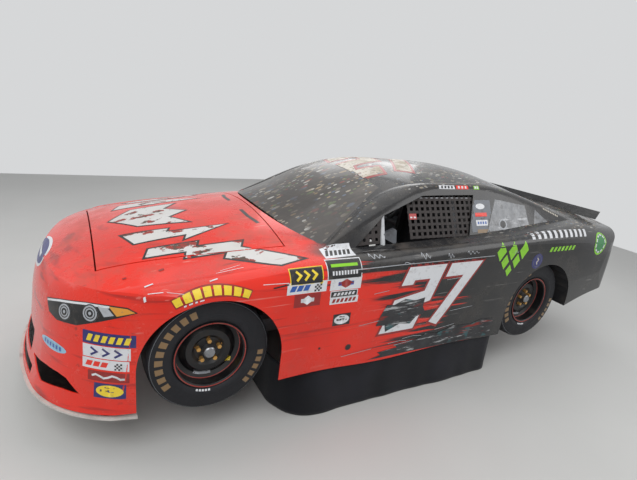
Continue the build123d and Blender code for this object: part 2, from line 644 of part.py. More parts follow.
def truck_arms():
    """The two long arms under the middle cross member and back to the axle, each with its front bracket."""
    arms = []
    for s in (1, -1):
        front, back = (-1470, s * 175, 106), (REAR_X, s * 420, 300)
        bracket = box(-1500, -1440, s * 150, s * 200, 80, RAIL_Z - RAIL_H / 2 - SEAT_GAP)
        axle = tube((REAR_X, -900, TYRE_R), (REAR_X, 900, TYRE_R), 40 + SEAT_GAP)
        arms.append(fused([tube(front, back, 26), bracket]) - axle)
    return arms


def springs():
    """Rear springs between the axle's seats and the kick-up's brackets, as closed coils."""
    coils = []
    for s in (1, -1):
        z0, z1 = TYRE_R + 48 + SEAT_GAP, KICK_Z - RAIL_H / 2 - SEAT_GAP
        coils.append(Pos(REAR_X + 45, s * REAR_STUB_Y, (z0 + z1) / 2) * Cylinder(38, z1 - z0))
    return coils


def front_arms():
    """Upper and lower wishbones with their brackets, towers and dampers, one solid a side."""
    inner, rail_top = STUB_Y + RAIL_W / 2, RAIL_TOP + SEAT_GAP
    pieces = []
    for z, spread in ((ARM_LOW_Z, 190), (ARM_HIGH_Z, 90)):
        for dx in (spread, -spread):
            pieces.append(tube((dx, inner + 14, z), (0, KINGPIN_Y, z), 12))
        pieces.append(Pos(0, KINGPIN_Y, z) * Cylinder(28, 30))
    pieces.append(box(-110, 110, inner - 30, inner + 20, rail_top, ARM_HIGH_Z + 30))
    pieces.append(box(-220, 220, inner + SEAT_GAP, inner + 22, ARM_LOW_Z - 22, ARM_LOW_Z + 30))
    pieces.append(box(-110, 110, inner + SEAT_GAP, inner + 20, ARM_LOW_Z + 20, rail_top + 1))
    pieces.append(tube((0, 560, ARM_LOW_Z), (0, inner + 12, ARM_HIGH_Z), 30))
    return both(fused(pieces))


def knuckle():
    """The left knuckle: upright, spindle boss, caliper and steering arm."""
    y = KINGPIN_Y
    low, high = ARM_LOW_Z + 15 + BALL_GAP, ARM_HIGH_Z - 15 - BALL_GAP
    upright = box(-28, 28, y - 20, y + 20, low, high)
    boss = tube((0, y, TYRE_R), (0, HUB_BACK_Y - BALL_GAP, TYRE_R), 36)
    arm = box(0, STEER_ARM + 16, y - 16, y + 16, STEER_ARM_Z - 10, STEER_ARM_Z + 10)
    caliper = box(-145, -85, y - 6, y + 26, TYRE_R - 70, TYRE_R + 70)
    bracket = box(-86, 0, y - 6, y + 14, TYRE_R - 30, TYRE_R + 30)
    return fused([upright, boss, arm, caliper, bracket])


def steering_linkage():
    """Centre link and both tie rods, which slide across the car together."""
    x, eye_h = STEER_ARM, 32
    rod_z = STEER_ARM_Z - 10 - BALL_GAP - eye_h / 2
    rods = [tube((x, -KINGPIN_Y, rod_z), (x, KINGPIN_Y, rod_z), 11)]
    eyes = [Pos(x, s * KINGPIN_Y, rod_z) * Cylinder(18, eye_h) for s in (1, -1)]
    return fused(rods + eyes)


def tyre():
    """One tyre about the Y axis: tread with rounded shoulders, bulged walls and beads."""
    half, bead = TYRE_HALF, RIM_HALF - 12.5
    p = [(bead, LIP_R + 3), (half, 262), (half - 3, 318), (half - 26, 346), (0, TYRE_R)]
    q = [(-x, r) for x, r in reversed(p[:-1])]
    inner = [(-bead, RIM_R), (-bead + 12, RIM_R), (-half + 14, 262), (-half + 34, 326), (half - 34, 326),
             (half - 14, 262), (bead - 12, RIM_R), (bead, RIM_R)]
    edges = [Edge.make_three_point_arc(Vector(p[0][0], p[0][1]), Vector(half - 1, 234), Vector(*p[1])),
             Edge.make_three_point_arc(Vector(*p[1]), Vector(half, 290), Vector(*p[2])),
             Edge.make_three_point_arc(Vector(*p[2]), Vector(half - 9, 336), Vector(*p[3])),
             Edge.make_three_point_arc(Vector(*p[3]), Vector(*p[4]), Vector(*q[0])),
             Edge.make_three_point_arc(Vector(*q[0]), Vector(-half + 9, 336), Vector(*q[1])),
             Edge.make_three_point_arc(Vector(*q[1]), Vector(-half, 290), Vector(*q[2])),
             Edge.make_three_point_arc(Vector(*q[2]), Vector(-half + 1, 234), Vector(*q[3]))]
    loop = [q[3], *inner, p[0]]
    edges += [Edge.make_line(Vector(*a), Vector(*b)) for a, b in zip(loop, loop[1:])]
    return wheel_turned(Face(Wire(edges)))


def wheel_turned(face):
    """Turn a profile of (width, radius) about the wheel's axis, which lies along Y."""
    turned = revolve(face, axis=Axis.X)
    return Rot(0, 0, 90) * turned


def wheel():
    """One left wheel about the Y axis: rim, disc, hub, brake disc and lug nuts."""
    w, lip, seat, t = RIM_HALF, LIP_R, RIM_R, RIM_WALL
    well = RIM_R - 28
    outline = [(-w, lip), (-w + 10, lip), (-w + 12, seat), (-70, seat), (-50, well), (46, well), (68, seat),
               (w - 12, seat), (w - 10, lip), (w, lip), (w, lip - t), (w - 6, seat - t), (66, seat - t),
               (48, well - t), (-48, well - t), (-68, seat - t), (-w + 6, seat - t), (-w, lip - t)]
    rim = wheel_turned(make_face(Polyline(outline, close=True)))
    d = DISC_Y
    disc = [(d, 0), (d, 78), (d + 14, 96), (d + 12, 130), (d - 14, 160), (d - 18, well - t + 1),
            (d - 26, well - t + 1), (d - 22, 158), (d + 4, 128), (d + 6, 98), (d - 8, 80), (d - 8, 0)]
    centre = wheel_turned(make_face(Polyline(disc, close=True)))
    barrel_gap = 30
    hub = [(d - 7, 0), (d - 7, HUB_R + 6), (d - 18, HUB_R + 6), (d - 18, 48), (-barrel_gap, 48),
           (-barrel_gap, 0)]
    hub_solid = wheel_turned(make_face(Polyline(hub, close=True)))
    stub = [(d - 1, 0), (d - 1, 34), (d + 42, 34), (d + 48, 28), (d + 48, 0)]
    cap = wheel_turned(make_face(Polyline(stub, close=True)))
    ring = [(-20, 40), (-20, BRAKE_R), (6, BRAKE_R), (6, 40)]
    rotor = wheel_turned(make_face(Polyline(ring, close=True)))
    lugs = []
    for k in range(LUGS):
        a = radians(90 + 360 * k / LUGS)
        at = Pos(LUG_CIRCLE_R * cos(a), d + 14, LUG_CIRCLE_R * sin(a))
        lugs.append(at * Rot(90, 0, 0) * extrude(RegularPolygon(13, 6), amount=15, both=True))
    return fused([rim, centre, hub_solid, cap, rotor, *lugs])


def spoiler():
    """The upright blade across the deck lid, leaning back."""
    side = [(-3776, 1010), (-3783, 1010), (-3826, 1086), (-3819, 1086)]
    return side_prism(side, -720, 720)


def display_stands():
    """Four posts with base and head plates under the main rails."""
    stands = []
    floor, top = -LIFT, RAIL_Z - RAIL_H / 2 - SEAT_GAP
    half, t, post = STAND_PLATE / 2, STAND_PLATE_T, STAND_POST / 2
    for x in STAND_X:
        for y in (RAIL_Y, -RAIL_Y):
            base = box(x - half, x + half, y - half, y + half, floor, floor + t)
            grid = STAND_BOLT_GRID / 2
            for dx in (grid, -grid):
                for dy in (grid, -grid):
                    base = base - Pos(x + dx, y + dy, floor + t / 2) * Cylinder(STAND_BOLT_R, 3 * t)
            column = box(x - post, x + post, y - post, y + post, floor + t, top - t)
            head = box(x - 80, x + 80, y - post, y + post, top - t, top)
            stands.append(fused([base, column, head]))
    return stands


def skirt_cloth():
    """The black cloth that hangs from behind the sills to the floor, closed at both ends."""
    z0 = -LIFT + SEAT_GAP
    out = box(SKIRT_REAR_X, SKIRT_FRONT_X, -SKIRT_Y, SKIRT_Y, z0, SKIRT_TOP_Z)
    t = SKIRT_T
    return out - box(SKIRT_REAR_X + t, SKIRT_FRONT_X - t, -SKIRT_Y + t, SKIRT_Y - t, z0 - 1, SKIRT_TOP_Z + 1)


def place_wheels(nodes):
    """A tyre and a wheel at each corner; the right-hand wheels are mirrored."""
    left_wheel, one_tyre = wheel(), tyre()
    for name, x, s in (("fl", 0, 1), ("fr", 0, -1), ("rl", REAR_X, 1), ("rr", REAR_X, -1)):
        at = Pos(x, s * WHEEL_Y, TYRE_R)
        nodes[f"wheel_{name}"] = at * (left_wheel if s > 0 else mirrored(left_wheel))
        nodes[f"tyre_{name}"] = at * one_tyre


def build():
    nodes = body_panels()
    nodes["splitter"] = splitter()
    nodes["grille"] = grille()
    nodes["window_net"] = window_net()
    inside = inside_body(SEAT_GAP)
    nodes["frame_rails"] = frame_rails(inside)
    nodes["front_clip"] = front_clip(inside)
    nodes["rear_clip"] = rear_clip(inside)
    nodes["roll_cage"] = roll_cage()
    nodes["cage_halo"] = cage_halo()
    nodes["door_bars"] = door_bars()
    nodes["rear_stays"] = rear_stays()
    nodes["nose_bars"] = nose_bars(inside)
    nodes["floor_pan"] = floor_pan()
    nodes["firewall"] = firewall()
    nodes["rear_bulkhead"] = rear_bulkhead()
    nodes["engine_block"] = engine_block()
    nodes["gearbox"] = gearbox()
    nodes["radiator"] = radiator()
    nodes["fuel_cell"] = fuel_cell()
    nodes["dashboard"] = dashboard()
    nodes["seat"] = seat()
    nodes["steering_column"] = steering_column()
    nodes["steering_wheel"] = steering_wheel()
    nodes["rear_axle"] = rear_axle()
    nodes["drive_shaft"] = drive_shaft()
    nodes["truck_arms"] = truck_arms()
    nodes["springs"] = springs()
    nodes["front_arms"] = front_arms()
    nodes["knuckle_left"] = knuckle()
    nodes["knuckle_right"] = mirrored(knuckle())
    nodes["steering_linkage"] = steering_linkage()
    nodes["display_stands"] = display_stands()
    nodes["skirt_cloth"] = skirt_cloth()
    place_wheels(nodes)
    return nodes


def export(nodes):
    """Write each node, moved so that the origin is on the floor under the car's middle."""
    os.makedirs("parts", exist_ok=True)
    shift = Pos(-(NOSE_X + TAIL_X) / 2, 0, LIFT)
    for name, shape in nodes.items():
        solids = [s for piece in (shape if isinstance(shape, list) else [shape]) for s in piece.solids()]
        export_step(shift * Compound(solids), f"parts/{name}.step")


export(build())
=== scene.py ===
"""A race-worn stock car on display stands: finishes, graphics, net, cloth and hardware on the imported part."""

from math import cos, pi, radians, sin

import bmesh
import bpy
from mathutils import Matrix, Vector
from mathutils.bvhtree import BVHTree


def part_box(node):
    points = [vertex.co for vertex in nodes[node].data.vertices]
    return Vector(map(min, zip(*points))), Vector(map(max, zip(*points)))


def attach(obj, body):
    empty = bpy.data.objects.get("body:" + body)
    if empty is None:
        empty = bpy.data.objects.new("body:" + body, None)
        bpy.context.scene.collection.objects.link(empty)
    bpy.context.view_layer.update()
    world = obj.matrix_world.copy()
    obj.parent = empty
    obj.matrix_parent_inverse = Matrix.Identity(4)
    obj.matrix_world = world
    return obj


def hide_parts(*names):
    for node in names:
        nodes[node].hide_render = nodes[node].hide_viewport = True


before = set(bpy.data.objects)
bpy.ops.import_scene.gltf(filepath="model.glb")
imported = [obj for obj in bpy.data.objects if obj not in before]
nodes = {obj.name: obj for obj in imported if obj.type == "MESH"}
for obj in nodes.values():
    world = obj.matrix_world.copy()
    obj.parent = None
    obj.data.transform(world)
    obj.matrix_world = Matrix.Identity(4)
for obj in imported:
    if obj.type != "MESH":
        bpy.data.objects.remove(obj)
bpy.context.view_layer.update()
SIDES = {"left": 1, "right": -1}

# Camera: where the photograph was taken from, in metres and degrees
CAMERA_PLACE = Vector((2.152, 3.033, 1.999))
CAMERA_YAW, CAMERA_PITCH, CAMERA_ROLL = radians(-120.485), radians(-17.459), radians(-7.079)
CAMERA_LENS, CAMERA_SENSOR = 24.90, 36.0

# Running gear, read from the frame
WHEELS = ("fl", "fr", "rl", "rr")
WHEEL_CENTRE = {w: sum(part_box(f"tyre_{w}"), Vector()) / 2 for w in WHEELS}

# Colour change on the flanks: it passes this place and leans this much
FADE_X, FADE_Z, FADE_SLOPE = 0.74, 1.10, 1.12

# How far graphics stand off the skin, one step per layer, and how wide a sticker's border is
LAYER, BORDER = 0.0007, 0.006
# How far in front of its place a drawing board stands, and the pitch of the grid that its shapes are cut on,
# on the body and on the wheels
STAND_OFF, PITCH, WHEEL_PITCH = 0.5, 0.02, 0.05
# Directions of the row frame: towards the car's middle from the left, down, and ahead
INWARD, DOWN, AHEAD = (0, -1, 0), (0, 0, -1), (1, 0, 0)
# How far from the car's middle upright boards on the flanks lie
FLANK_Y = 0.98


def tone(red, green, blue):
    """A colour as the eye sees it, 0 to 255, turned into the linear values that shaders use."""
    values = [v / 255 for v in (red, green, blue)]
    return tuple(v / 12.92 if v <= 0.04045 else ((v + 0.055) / 1.055) ** 2.4 for v in values)


COLOURS = {
    "red": tone(240, 44, 22), "deep_red": tone(150, 26, 22), "black": tone(22, 22, 25),
    "ink": tone(14, 14, 16), "white": tone(226, 228, 232), "cream": tone(205, 198, 184),
    "yellow": tone(244, 214, 52), "amber": tone(226, 156, 54), "gold": tone(134, 106, 70),
    "navy": tone(34, 38, 110), "blue": tone(36, 90, 176), "sky": tone(150, 196, 222),
    "green": tone(142, 214, 38), "leaf": tone(24, 128, 62), "grey": tone(120, 124, 130),
    "silver_grey": tone(176, 180, 186), "plate": tone(92, 98, 108),
}
# Grey-brown of dust; on the body's upward faces it also stands in for a painted sky reflection
DUST = tone(116, 106, 94)


class Graph:
    """Builds one procedural material, node by node."""

    def __init__(self, name):
        self.material = bpy.data.materials.new(name)
        self.material.use_nodes = True
        self.tree = self.material.node_tree
        self.shader = self.tree.nodes["Principled BSDF"]
        coordinates = self.tree.nodes.new("ShaderNodeTexCoord")
        self.place, self.normal = coordinates.outputs["Object"], coordinates.outputs["Normal"]

    def node(self, kind, sockets, **settings):
        """A node of this kind; sockets maps input names or numbers to a value or another node's output."""
        made = self.tree.nodes.new(kind)
        for key, value in settings.items():
            setattr(made, key, value)
        for key, value in sockets.items():
            self.put(made.inputs[key], value)
        return made

    def put(self, socket, value):
        """Sets a socket, or links it."""
        if isinstance(value, bpy.types.NodeSocket):
            self.tree.links.new(value, socket)
        elif socket.type == "RGBA":
            socket.default_value = (*value[:3], 1)
        else:
            socket.default_value = value

    def math(self, operation, a, b, clamp=False):
        return self.node("ShaderNodeMath", {0: a, 1: b}, operation=operation, use_clamp=clamp).outputs[0]

    def plus(self, a, b):
        return self.math("ADD", a, b)

    def minus(self, a, b, clamp=False):
        return self.math("SUBTRACT", a, b, clamp)

    def times(self, a, b):
        return self.math("MULTIPLY", a, b)

    def less(self, a, b):
        return self.math("LESS_THAN", a, b)

    def most(self, a, b):
        return self.math("MAXIMUM", a, b)

    def scaled(self, x, y, z, turn=0.0):
        """The object's coordinates stretched by these factors, turned about Z by so many degrees."""
        sockets = {"Vector": self.place, "Scale": (x, y, z), "Rotation": (0, 0, radians(turn))}
        return self.node("ShaderNodeMapping", sockets).outputs[0]

    def noise(self, scale, detail=3.0, rough=0.5, vector=None):
        sockets = {"Vector": vector or self.place, "Scale": scale, "Detail": detail, "Roughness": rough}
        return self.node("ShaderNodeTexNoise", sockets).outputs["Fac"]

    def streaks(self, x, y, z, detail, rough=0.5, turn=0.0):
        """Noise that is stretched along the axes with small factors."""
        return self.noise(1.0, detail, rough, self.scaled(x, y, z, turn))

    def cells(self, scale, vector=None):
        return self.node("ShaderNodeTexVoronoi", {"Vector": vector or self.place, "Scale": scale})

    def weave(self, scale, *directions, distortion=0.0):
        """Fine parallel threads across each of these directions."""
        sockets = {"Vector": self.place, "Scale": scale, "Distortion": distortion}
        made = [self.node("ShaderNodeTexWave", sockets, bands_direction=axis) for axis in directions]
        return [threads.outputs["Fac"] for threads in made]

    def ease(self, value, low, high, to_low=0.0, to_high=1.0):
        """Smoothly from to_low where value is low to to_high where it is high."""
        sockets = {"Value": value, "From Min": low, "From Max": high, "To Min": to_low, "To Max": to_high}
        return self.node("ShaderNodeMapRange", sockets, interpolation_type="SMOOTHSTEP").outputs[0]

    def mix(self, factor, a, b):
        made = self.tree.nodes.new("ShaderNodeMix")
        made.data_type = "RGBA"
        inputs = {s.identifier: s for s in made.inputs}
        self.put(inputs["Factor_Float"], factor)
        self.put(inputs["A_Color"], a)
        self.put(inputs["B_Color"], b)
        return next(s for s in made.outputs if s.identifier == "Result_Color")

    def palette(self, value, colours):
        """Hard steps through these colours as value goes from 0 to 1."""
        ramp = self.node("ShaderNodeValToRGB", {0: value})
        ramp.color_ramp.interpolation = "CONSTANT"
        elements = ramp.color_ramp.elements
        while len(elements) < len(colours):
            elements.new(1.0)
        for k, colour in enumerate(colours):
            elements[k].position = k / len(colours)
            elements[k].color = (*colour, 1)
        return ramp.outputs[0]

    def split(self, vector=None):
        return self.node("ShaderNodeSeparateXYZ", {0: vector or self.place}).outputs

    def bump(self, height, strength, distance, below=None):
        made = self.node("ShaderNodeBump", {"Height": height, "Strength": strength, "Distance": distance})
        if below is not None:
            self.put(made.inputs["Normal"], below)
        return made.outputs[0]

    def finish(self, **sockets):
        """Sets the shader's sockets, named with underscores for spaces, and hands over the material."""
        for key, value in sockets.items():
            self.put(self.shader.inputs[key.replace("_", " ")], value)
        return self.material


def scuffs(g, along=1.4, across=55.0):
    """Thin scratches that run along the car, gathered in patches."""
    lines = g.streaks(along, across, across, 2.0, turn=4)
    patches = g.noise(3.1, 2.0)
    return g.times(g.ease(lines, 0.66, 0.72), g.ease(patches, 0.46, 0.62))


def flakes(g, scale, share, squeeze, turn):
    """Scraps of torn paper: a mask, and a value per scrap that picks its colour."""
    cells = g.cells(scale, g.scaled(1.0, squeeze, 1.0, turn))
    pick = g.split(cells.outputs["Color"])
    close = g.less(cells.outputs["Distance"], 0.34)
    chosen = g.less(pick[0], share)
    return g.times(close, chosen), pick[1]


SCRAPS = (tone(168, 158, 140), tone(150, 128, 96), tone(186, 184, 178), tone(92, 108, 128),
          tone(128, 120, 108), tone(96, 112, 70), tone(160, 148, 126), tone(132, 70, 62))


def paint_material():
    """The wrap on the body: red at the front, torn into black along the flanks, scratched and dusty, its upward
    faces paled by dust and by a painted sky reflection.
    """
    g = Graph("body_paint")
    x, y, z = g.split()
    lean = g.times(g.minus(z, FADE_Z), FADE_SLOPE)
    ahead = g.minus(g.minus(x, FADE_X), lean)
    streak = g.streaks(0.7, 2.5, 17.0, 3.0, 0.6)
    brush = g.streaks(3.0, 12.0, 90.0, 2.0, 0.6)
    shift = g.times(g.minus(streak, 0.47), 2.6)
    shift = g.plus(shift, g.times(g.minus(brush, 0.5), 0.5))
    shoulder = g.ease(z, 1.06, 1.11)
    ahead = g.minus(ahead, g.times(shoulder, 0.13))
    ahead = g.plus(ahead, g.ease(z, 1.115, 1.150, 0.0, 0.16))
    shift = g.times(shift, g.ease(shoulder, 0.0, 1.0, 1.0, 0.12))
    dark = g.ease(g.plus(ahead, shift), -0.10, 0.14, 1.0, 0.0)
    pillar = g.times(g.ease(x, 0.80, 0.83, 1.0, 0.0), g.ease(z, 1.120, 1.145))
    dark = g.most(dark, pillar)
    red = g.mix(g.ease(g.noise(2.2, 4.0), 0.35, 0.7), COLOURS["red"], tone(226, 40, 22))
    red = g.mix(g.ease(streak, 0.30, 0.44, 0.7, 0.0), red, COLOURS["deep_red"])
    black = g.mix(g.noise(5.0, 5.0), COLOURS["ink"], tone(38, 38, 41))
    colour = g.mix(dark, red, black)
    up = g.ease(g.split(g.normal)[2], 0.72, 0.92)
    # Dust in patches, thicker on upward faces; the extra pale on the tops is also a painted reflection of the
    # sky
    dust_and_sheen = g.times(g.ease(g.noise(4.0, 8.0, 0.7), 0.42, 0.72), g.ease(up, 0.0, 1.0, 0.14, 0.34))
    colour = g.mix(dust_and_sheen, colour, DUST)
    smear = g.ease(g.streaks(1.2, 16.0, 16.0, 4.0, 0.7, -9), 0.62, 0.74, 0.0, 0.5)
    colour = g.mix(smear, colour, tone(44, 36, 34))
    scratch = scuffs(g)
    pale = g.mix(dark, tone(236, 150, 138), tone(150, 148, 146))
    colour = g.mix(g.times(scratch, 0.55), colour, pale)
    scrap, pick = flakes(g, 16.0, 0.40, 2.3, 28)
    small, small_pick = flakes(g, 34.0, 0.34, 1.9, -20)
    rearward = g.ease(x, 0.45, 1.0, 1.0, 0.04)
    patches = g.ease(g.noise(1.9, 2.0), 0.36, 0.52)
    where = g.times(g.times(up, rearward), patches)
    where = g.times(where, g.ease(z, 1.14, 1.22))
    colour = g.mix(g.times(scrap, where), colour, g.palette(pick, SCRAPS))
    colour = g.mix(g.times(small, where), colour, g.palette(small_pick, SCRAPS[::-1]))
    rough = g.plus(g.times(dust_and_sheen, 0.8), 0.22)
    ripple = g.bump(g.noise(9.0, 2.0), 0.25, 0.004)
    grain = g.bump(g.plus(scratch, g.noise(160.0, 3.0)), 0.12, 0.0012, ripple)
    return g.finish(Base_Color=colour, Roughness=rough, Specular_IOR_Level=0.35, Coat_Weight=0.3,
                    Coat_Roughness=0.08, Normal=grain)


def vinyl(name, colour, wear=0.35):
    """A printed sticker: one colour, scuffed, with dirt in patches."""
    g = Graph(name)
    patch = g.ease(g.noise(26.0, 6.0, 0.7), 0.5, 0.72, 0.0, wear)
    shade = g.mix(patch, colour, DUST)
    shade = g.mix(g.times(scuffs(g, 2.0, 70.0), wear), shade, tone(120, 112, 108))
    rough = g.ease(patch, 0.0, wear, 0.34, 0.62)
    normal = g.bump(g.noise(120.0, 3.0), 0.12, 0.001)
    return g.finish(Base_Color=shade, Roughness=rough, Coat_Weight=0.2, Normal=normal)


def torn_material():
    """White vinyl with pieces torn out of it, down to scraped red and dirt."""
    g = Graph("torn_white")
    hurt = g.noise(7.0, 6.0, 0.62, g.scaled(1.0, 1.6, 1.0, turn=15))
    gone = g.ease(hurt, 0.545, 0.565)
    shade = g.mix(g.noise(5.0, 4.0), tone(226, 226, 226), tone(200, 196, 190))
    under = g.mix(g.ease(g.noise(21.0, 4.0), 0.42, 0.58), tone(150, 44, 34), tone(74, 58, 44))
    shade = g.mix(gone, shade, under)
    shade = g.mix(g.times(scuffs(g), 0.5), shade, tone(150, 60, 50))
    return g.finish(Base_Color=shade, Roughness=g.ease(gone, 0.0, 1.0, 0.34, 0.6), Coat_Weight=0.2,
                    Normal=g.bump(gone, 0.3, 0.0015))


def scraped_material():
    """Wrap that a wall has rubbed off: dark rubber and sheet with pale, red and teal scratches along it."""
    g = Graph("scraped_side")
    line = g.streaks(4.0, 30.0, 42.0, 4.0, 0.7, 3)
    shade = g.mix(g.noise(14.0, 6.0), tone(30, 31, 34), tone(78, 78, 80))
    shade = g.mix(g.ease(line, 0.56, 0.64), shade, tone(176, 178, 180))
    shade = g.mix(g.ease(g.noise(9.0, 5.0), 0.60, 0.68, 0.0, 0.8), shade, tone(66, 104, 108))
    red = g.ease(g.streaks(3.0, 20.0, 26.0, 3.0, 0.6), 0.62, 0.70, 0.0, 0.8)
    shade = g.mix(red, shade, tone(150, 46, 36))
    return g.finish(Base_Color=shade, Roughness=0.6, Specular_IOR_Level=0.3, Normal=g.bump(line, 0.4, 0.002))


def speckled_material():
    """White print on the roof under a litter of paper scraps and dust."""
    g = Graph("speckled_white")
    shade = g.mix(g.ease(g.noise(6.0, 6.0), 0.4, 0.65), tone(214, 208, 198), tone(176, 164, 146))
    for scale, share, turn in ((18.0, 0.55, 28), (36.0, 0.45, -20)):
        scrap, pick = flakes(g, scale, share, 2.3, turn)
        shade = g.mix(g.times(scrap, 0.85), shade, g.palette(pick, SCRAPS))
    return g.finish(Base_Color=shade, Roughness=0.6, Normal=g.bump(g.noise(60.0, 3.0), 0.2, 0.001))


def windshield_material():
    """Clear plastic under race grime, with scraps of paper stuck all over it."""
    g = Graph("dusty_glazing")
    covered = g.ease(g.noise(2.4, 8.0, 0.65), 0.25, 0.62, 0.78, 1.0)
    colour = g.mix(g.noise(7.0, 6.0), tone(46, 42, 40), tone(74, 67, 61))
    wipe = g.ease(g.streaks(3.0, 14.0, 3.0, 4.0, 0.7, 30), 0.50, 0.72, 0.0, 0.40)
    colour = g.mix(wipe, colour, tone(106, 97, 88))
    patches = g.ease(g.noise(2.2, 3.0), 0.34, 0.50)
    mask, pick = flakes(g, 10.0, 0.62, 2.6, 24)
    small, small_pick = flakes(g, 21.0, 0.55, 2.2, -12)
    for share, scraps, palette in ((mask, pick, SCRAPS), (small, small_pick, SCRAPS[::-1])):
        worn = g.times(share, patches)
        colour = g.mix(g.times(worn, 0.80), colour, g.palette(scraps, palette))
        covered = g.most(covered, worn)
    clear = g.minus(1.0, covered, clamp=True)
    rough = g.ease(covered, 0.6, 1.0, 0.12, 0.42)
    normal = g.bump(g.plus(mask, g.noise(40.0, 4.0)), 0.2, 0.0015)
    return g.finish(Base_Color=colour, Roughness=rough, Transmission_Weight=clear, IOR=1.49, Coat_Weight=0.3,
                    Normal=normal)


def film_material():
    """Grey scuffed film on the quarter and rear windows, crinkled, with painted light and shade on its folds
    and pale scrapes.
    """
    g = Graph("scuffed_film")
    fold = g.streaks(9.0, 9.0, 5.0, 5.0, 0.65, 20)
    # Lighter on the folds' ridges and darker in their hollows: painted light and shade of the crinkles
    shade = g.mix(g.ease(fold, 0.3, 0.7), tone(96, 99, 104), tone(150, 152, 156))
    pale = g.ease(g.streaks(4.0, 22.0, 22.0, 5.0, 0.7), 0.56, 0.66, 0.0, 0.85)
    shade = g.mix(pale, shade, tone(214, 216, 220))
    grime = g.ease(g.noise(14.0, 7.0, 0.7), 0.5, 0.7, 0.0, 0.6)
    shade = g.mix(grime, shade, tone(70, 66, 62))
    normal = g.bump(fold, 0.6, 0.008)
    rough = g.ease(grime, 0.0, 1.0, 0.25, 0.6)
    return g.finish(Base_Color=shade, Roughness=rough, Coat_Weight=0.3, Normal=normal)


def worn_metal(name, colour, rough=0.4, metallic=0.0, dirt=0.45, grain=90.0):
    """Painted or bare metal with dirt in its low places and a fine grain."""
    g = Graph(name)
    soil = g.ease(g.noise(11.0, 7.0, 0.7), 0.44, 0.7, 0.0, dirt)
    shade = g.mix(soil, colour, tone(60, 54, 48))
    fine = g.noise(grain, 3.0)
    shade = g.mix(g.ease(fine, 0.3, 0.7, 0.0, 0.15), shade, tuple(c * 0.55 for c in colour))
    normal = g.bump(fine, 0.15, 0.0008)
    return g.finish(Base_Color=shade, Roughness=g.ease(soil, 0, dirt, rough, min(rough + 0.3, 0.9)),
                    Metallic=metallic, Normal=normal)


def rubber_material():
    """Scrubbed racing rubber: dull black, with a picked-up grey bloom on the tread and shoulders."""
    g = Graph("tyre_rubber")
    bloom = g.ease(g.noise(16.0, 7.0, 0.7), 0.4, 0.72, 0.0, 0.5)
    shade = g.mix(bloom, tone(22, 23, 28), tone(54, 53, 56))
    grains = g.cells(190.0)
    normal = g.bump(grains.outputs["Distance"], 0.3, 0.0012, g.bump(g.noise(30.0, 4.0), 0.25, 0.003))
    return g.finish(Base_Color=shade, Roughness=g.ease(bloom, 0, 0.5, 0.55, 0.85), Specular_IOR_Level=0.35,
                    Normal=normal)


def webbing_material():
    """Woven nylon tape, dusty, with painted shade between its threads."""
    g = Graph("webbing_tape")
    height = g.times(*g.weave(240.0, "Z", "X", distortion=0.4))
    shade = g.mix(g.noise(18.0, 6.0), tone(44, 38, 38), tone(74, 66, 64))
    # Darker in the weave's low places: painted shade between the threads
    shade = g.mix(g.ease(height, 0.0, 0.5, 0.5, 0.0), shade, tone(20, 18, 19))
    return g.finish(Base_Color=shade, Roughness=0.85, Sheen_Weight=0.3, Normal=g.bump(height, 0.5, 0.0008))


def cloth_material():
    """Matt black drape with a fine weave and lint."""
    g = Graph("black_drape")
    height = g.plus(*g.weave(420.0, "Z", "X"))
    shade = g.mix(g.ease(g.noise(3.0, 6.0), 0.4, 0.75), tone(15, 16, 22), tone(27, 28, 36))
    lint = g.less(g.cells(60.0).outputs["Distance"], 0.05)
    shade = g.mix(g.times(lint, 0.3), shade, tone(130, 128, 124))
    return g.finish(Base_Color=shade, Roughness=0.92, Specular_IOR_Level=0.25, Sheen_Weight=0.12,
                    Normal=g.bump(height, 0.35, 0.0006))


def core_material():
    """Fine fins of the cooler: pale fins with painted shade in the gaps between them."""
    g = Graph("cooler_core")
    fins = g.weave(110.0, "Z")[0]
    # Pale on the fins and dark between them: painted shade in the gaps
    shade = g.mix(fins, tone(40, 42, 44), tone(150, 152, 154))
    return g.finish(Base_Color=shade, Metallic=0.7, Roughness=0.45, Normal=g.bump(fins, 0.6, 0.002))


def clear_material():
    """Smoked clear blade of the spoiler."""
    g = Graph("smoked_blade")
    haze = g.ease(g.noise(8.0, 6.0), 0.3, 0.7, 0.25, 0.6)
    shade = g.mix(haze, tone(34, 35, 38), tone(84, 84, 84))
    clear = g.minus(0.9, haze, clamp=True)
    return g.finish(Base_Color=shade, Roughness=0.22, Transmission_Weight=clear, IOR=1.49)


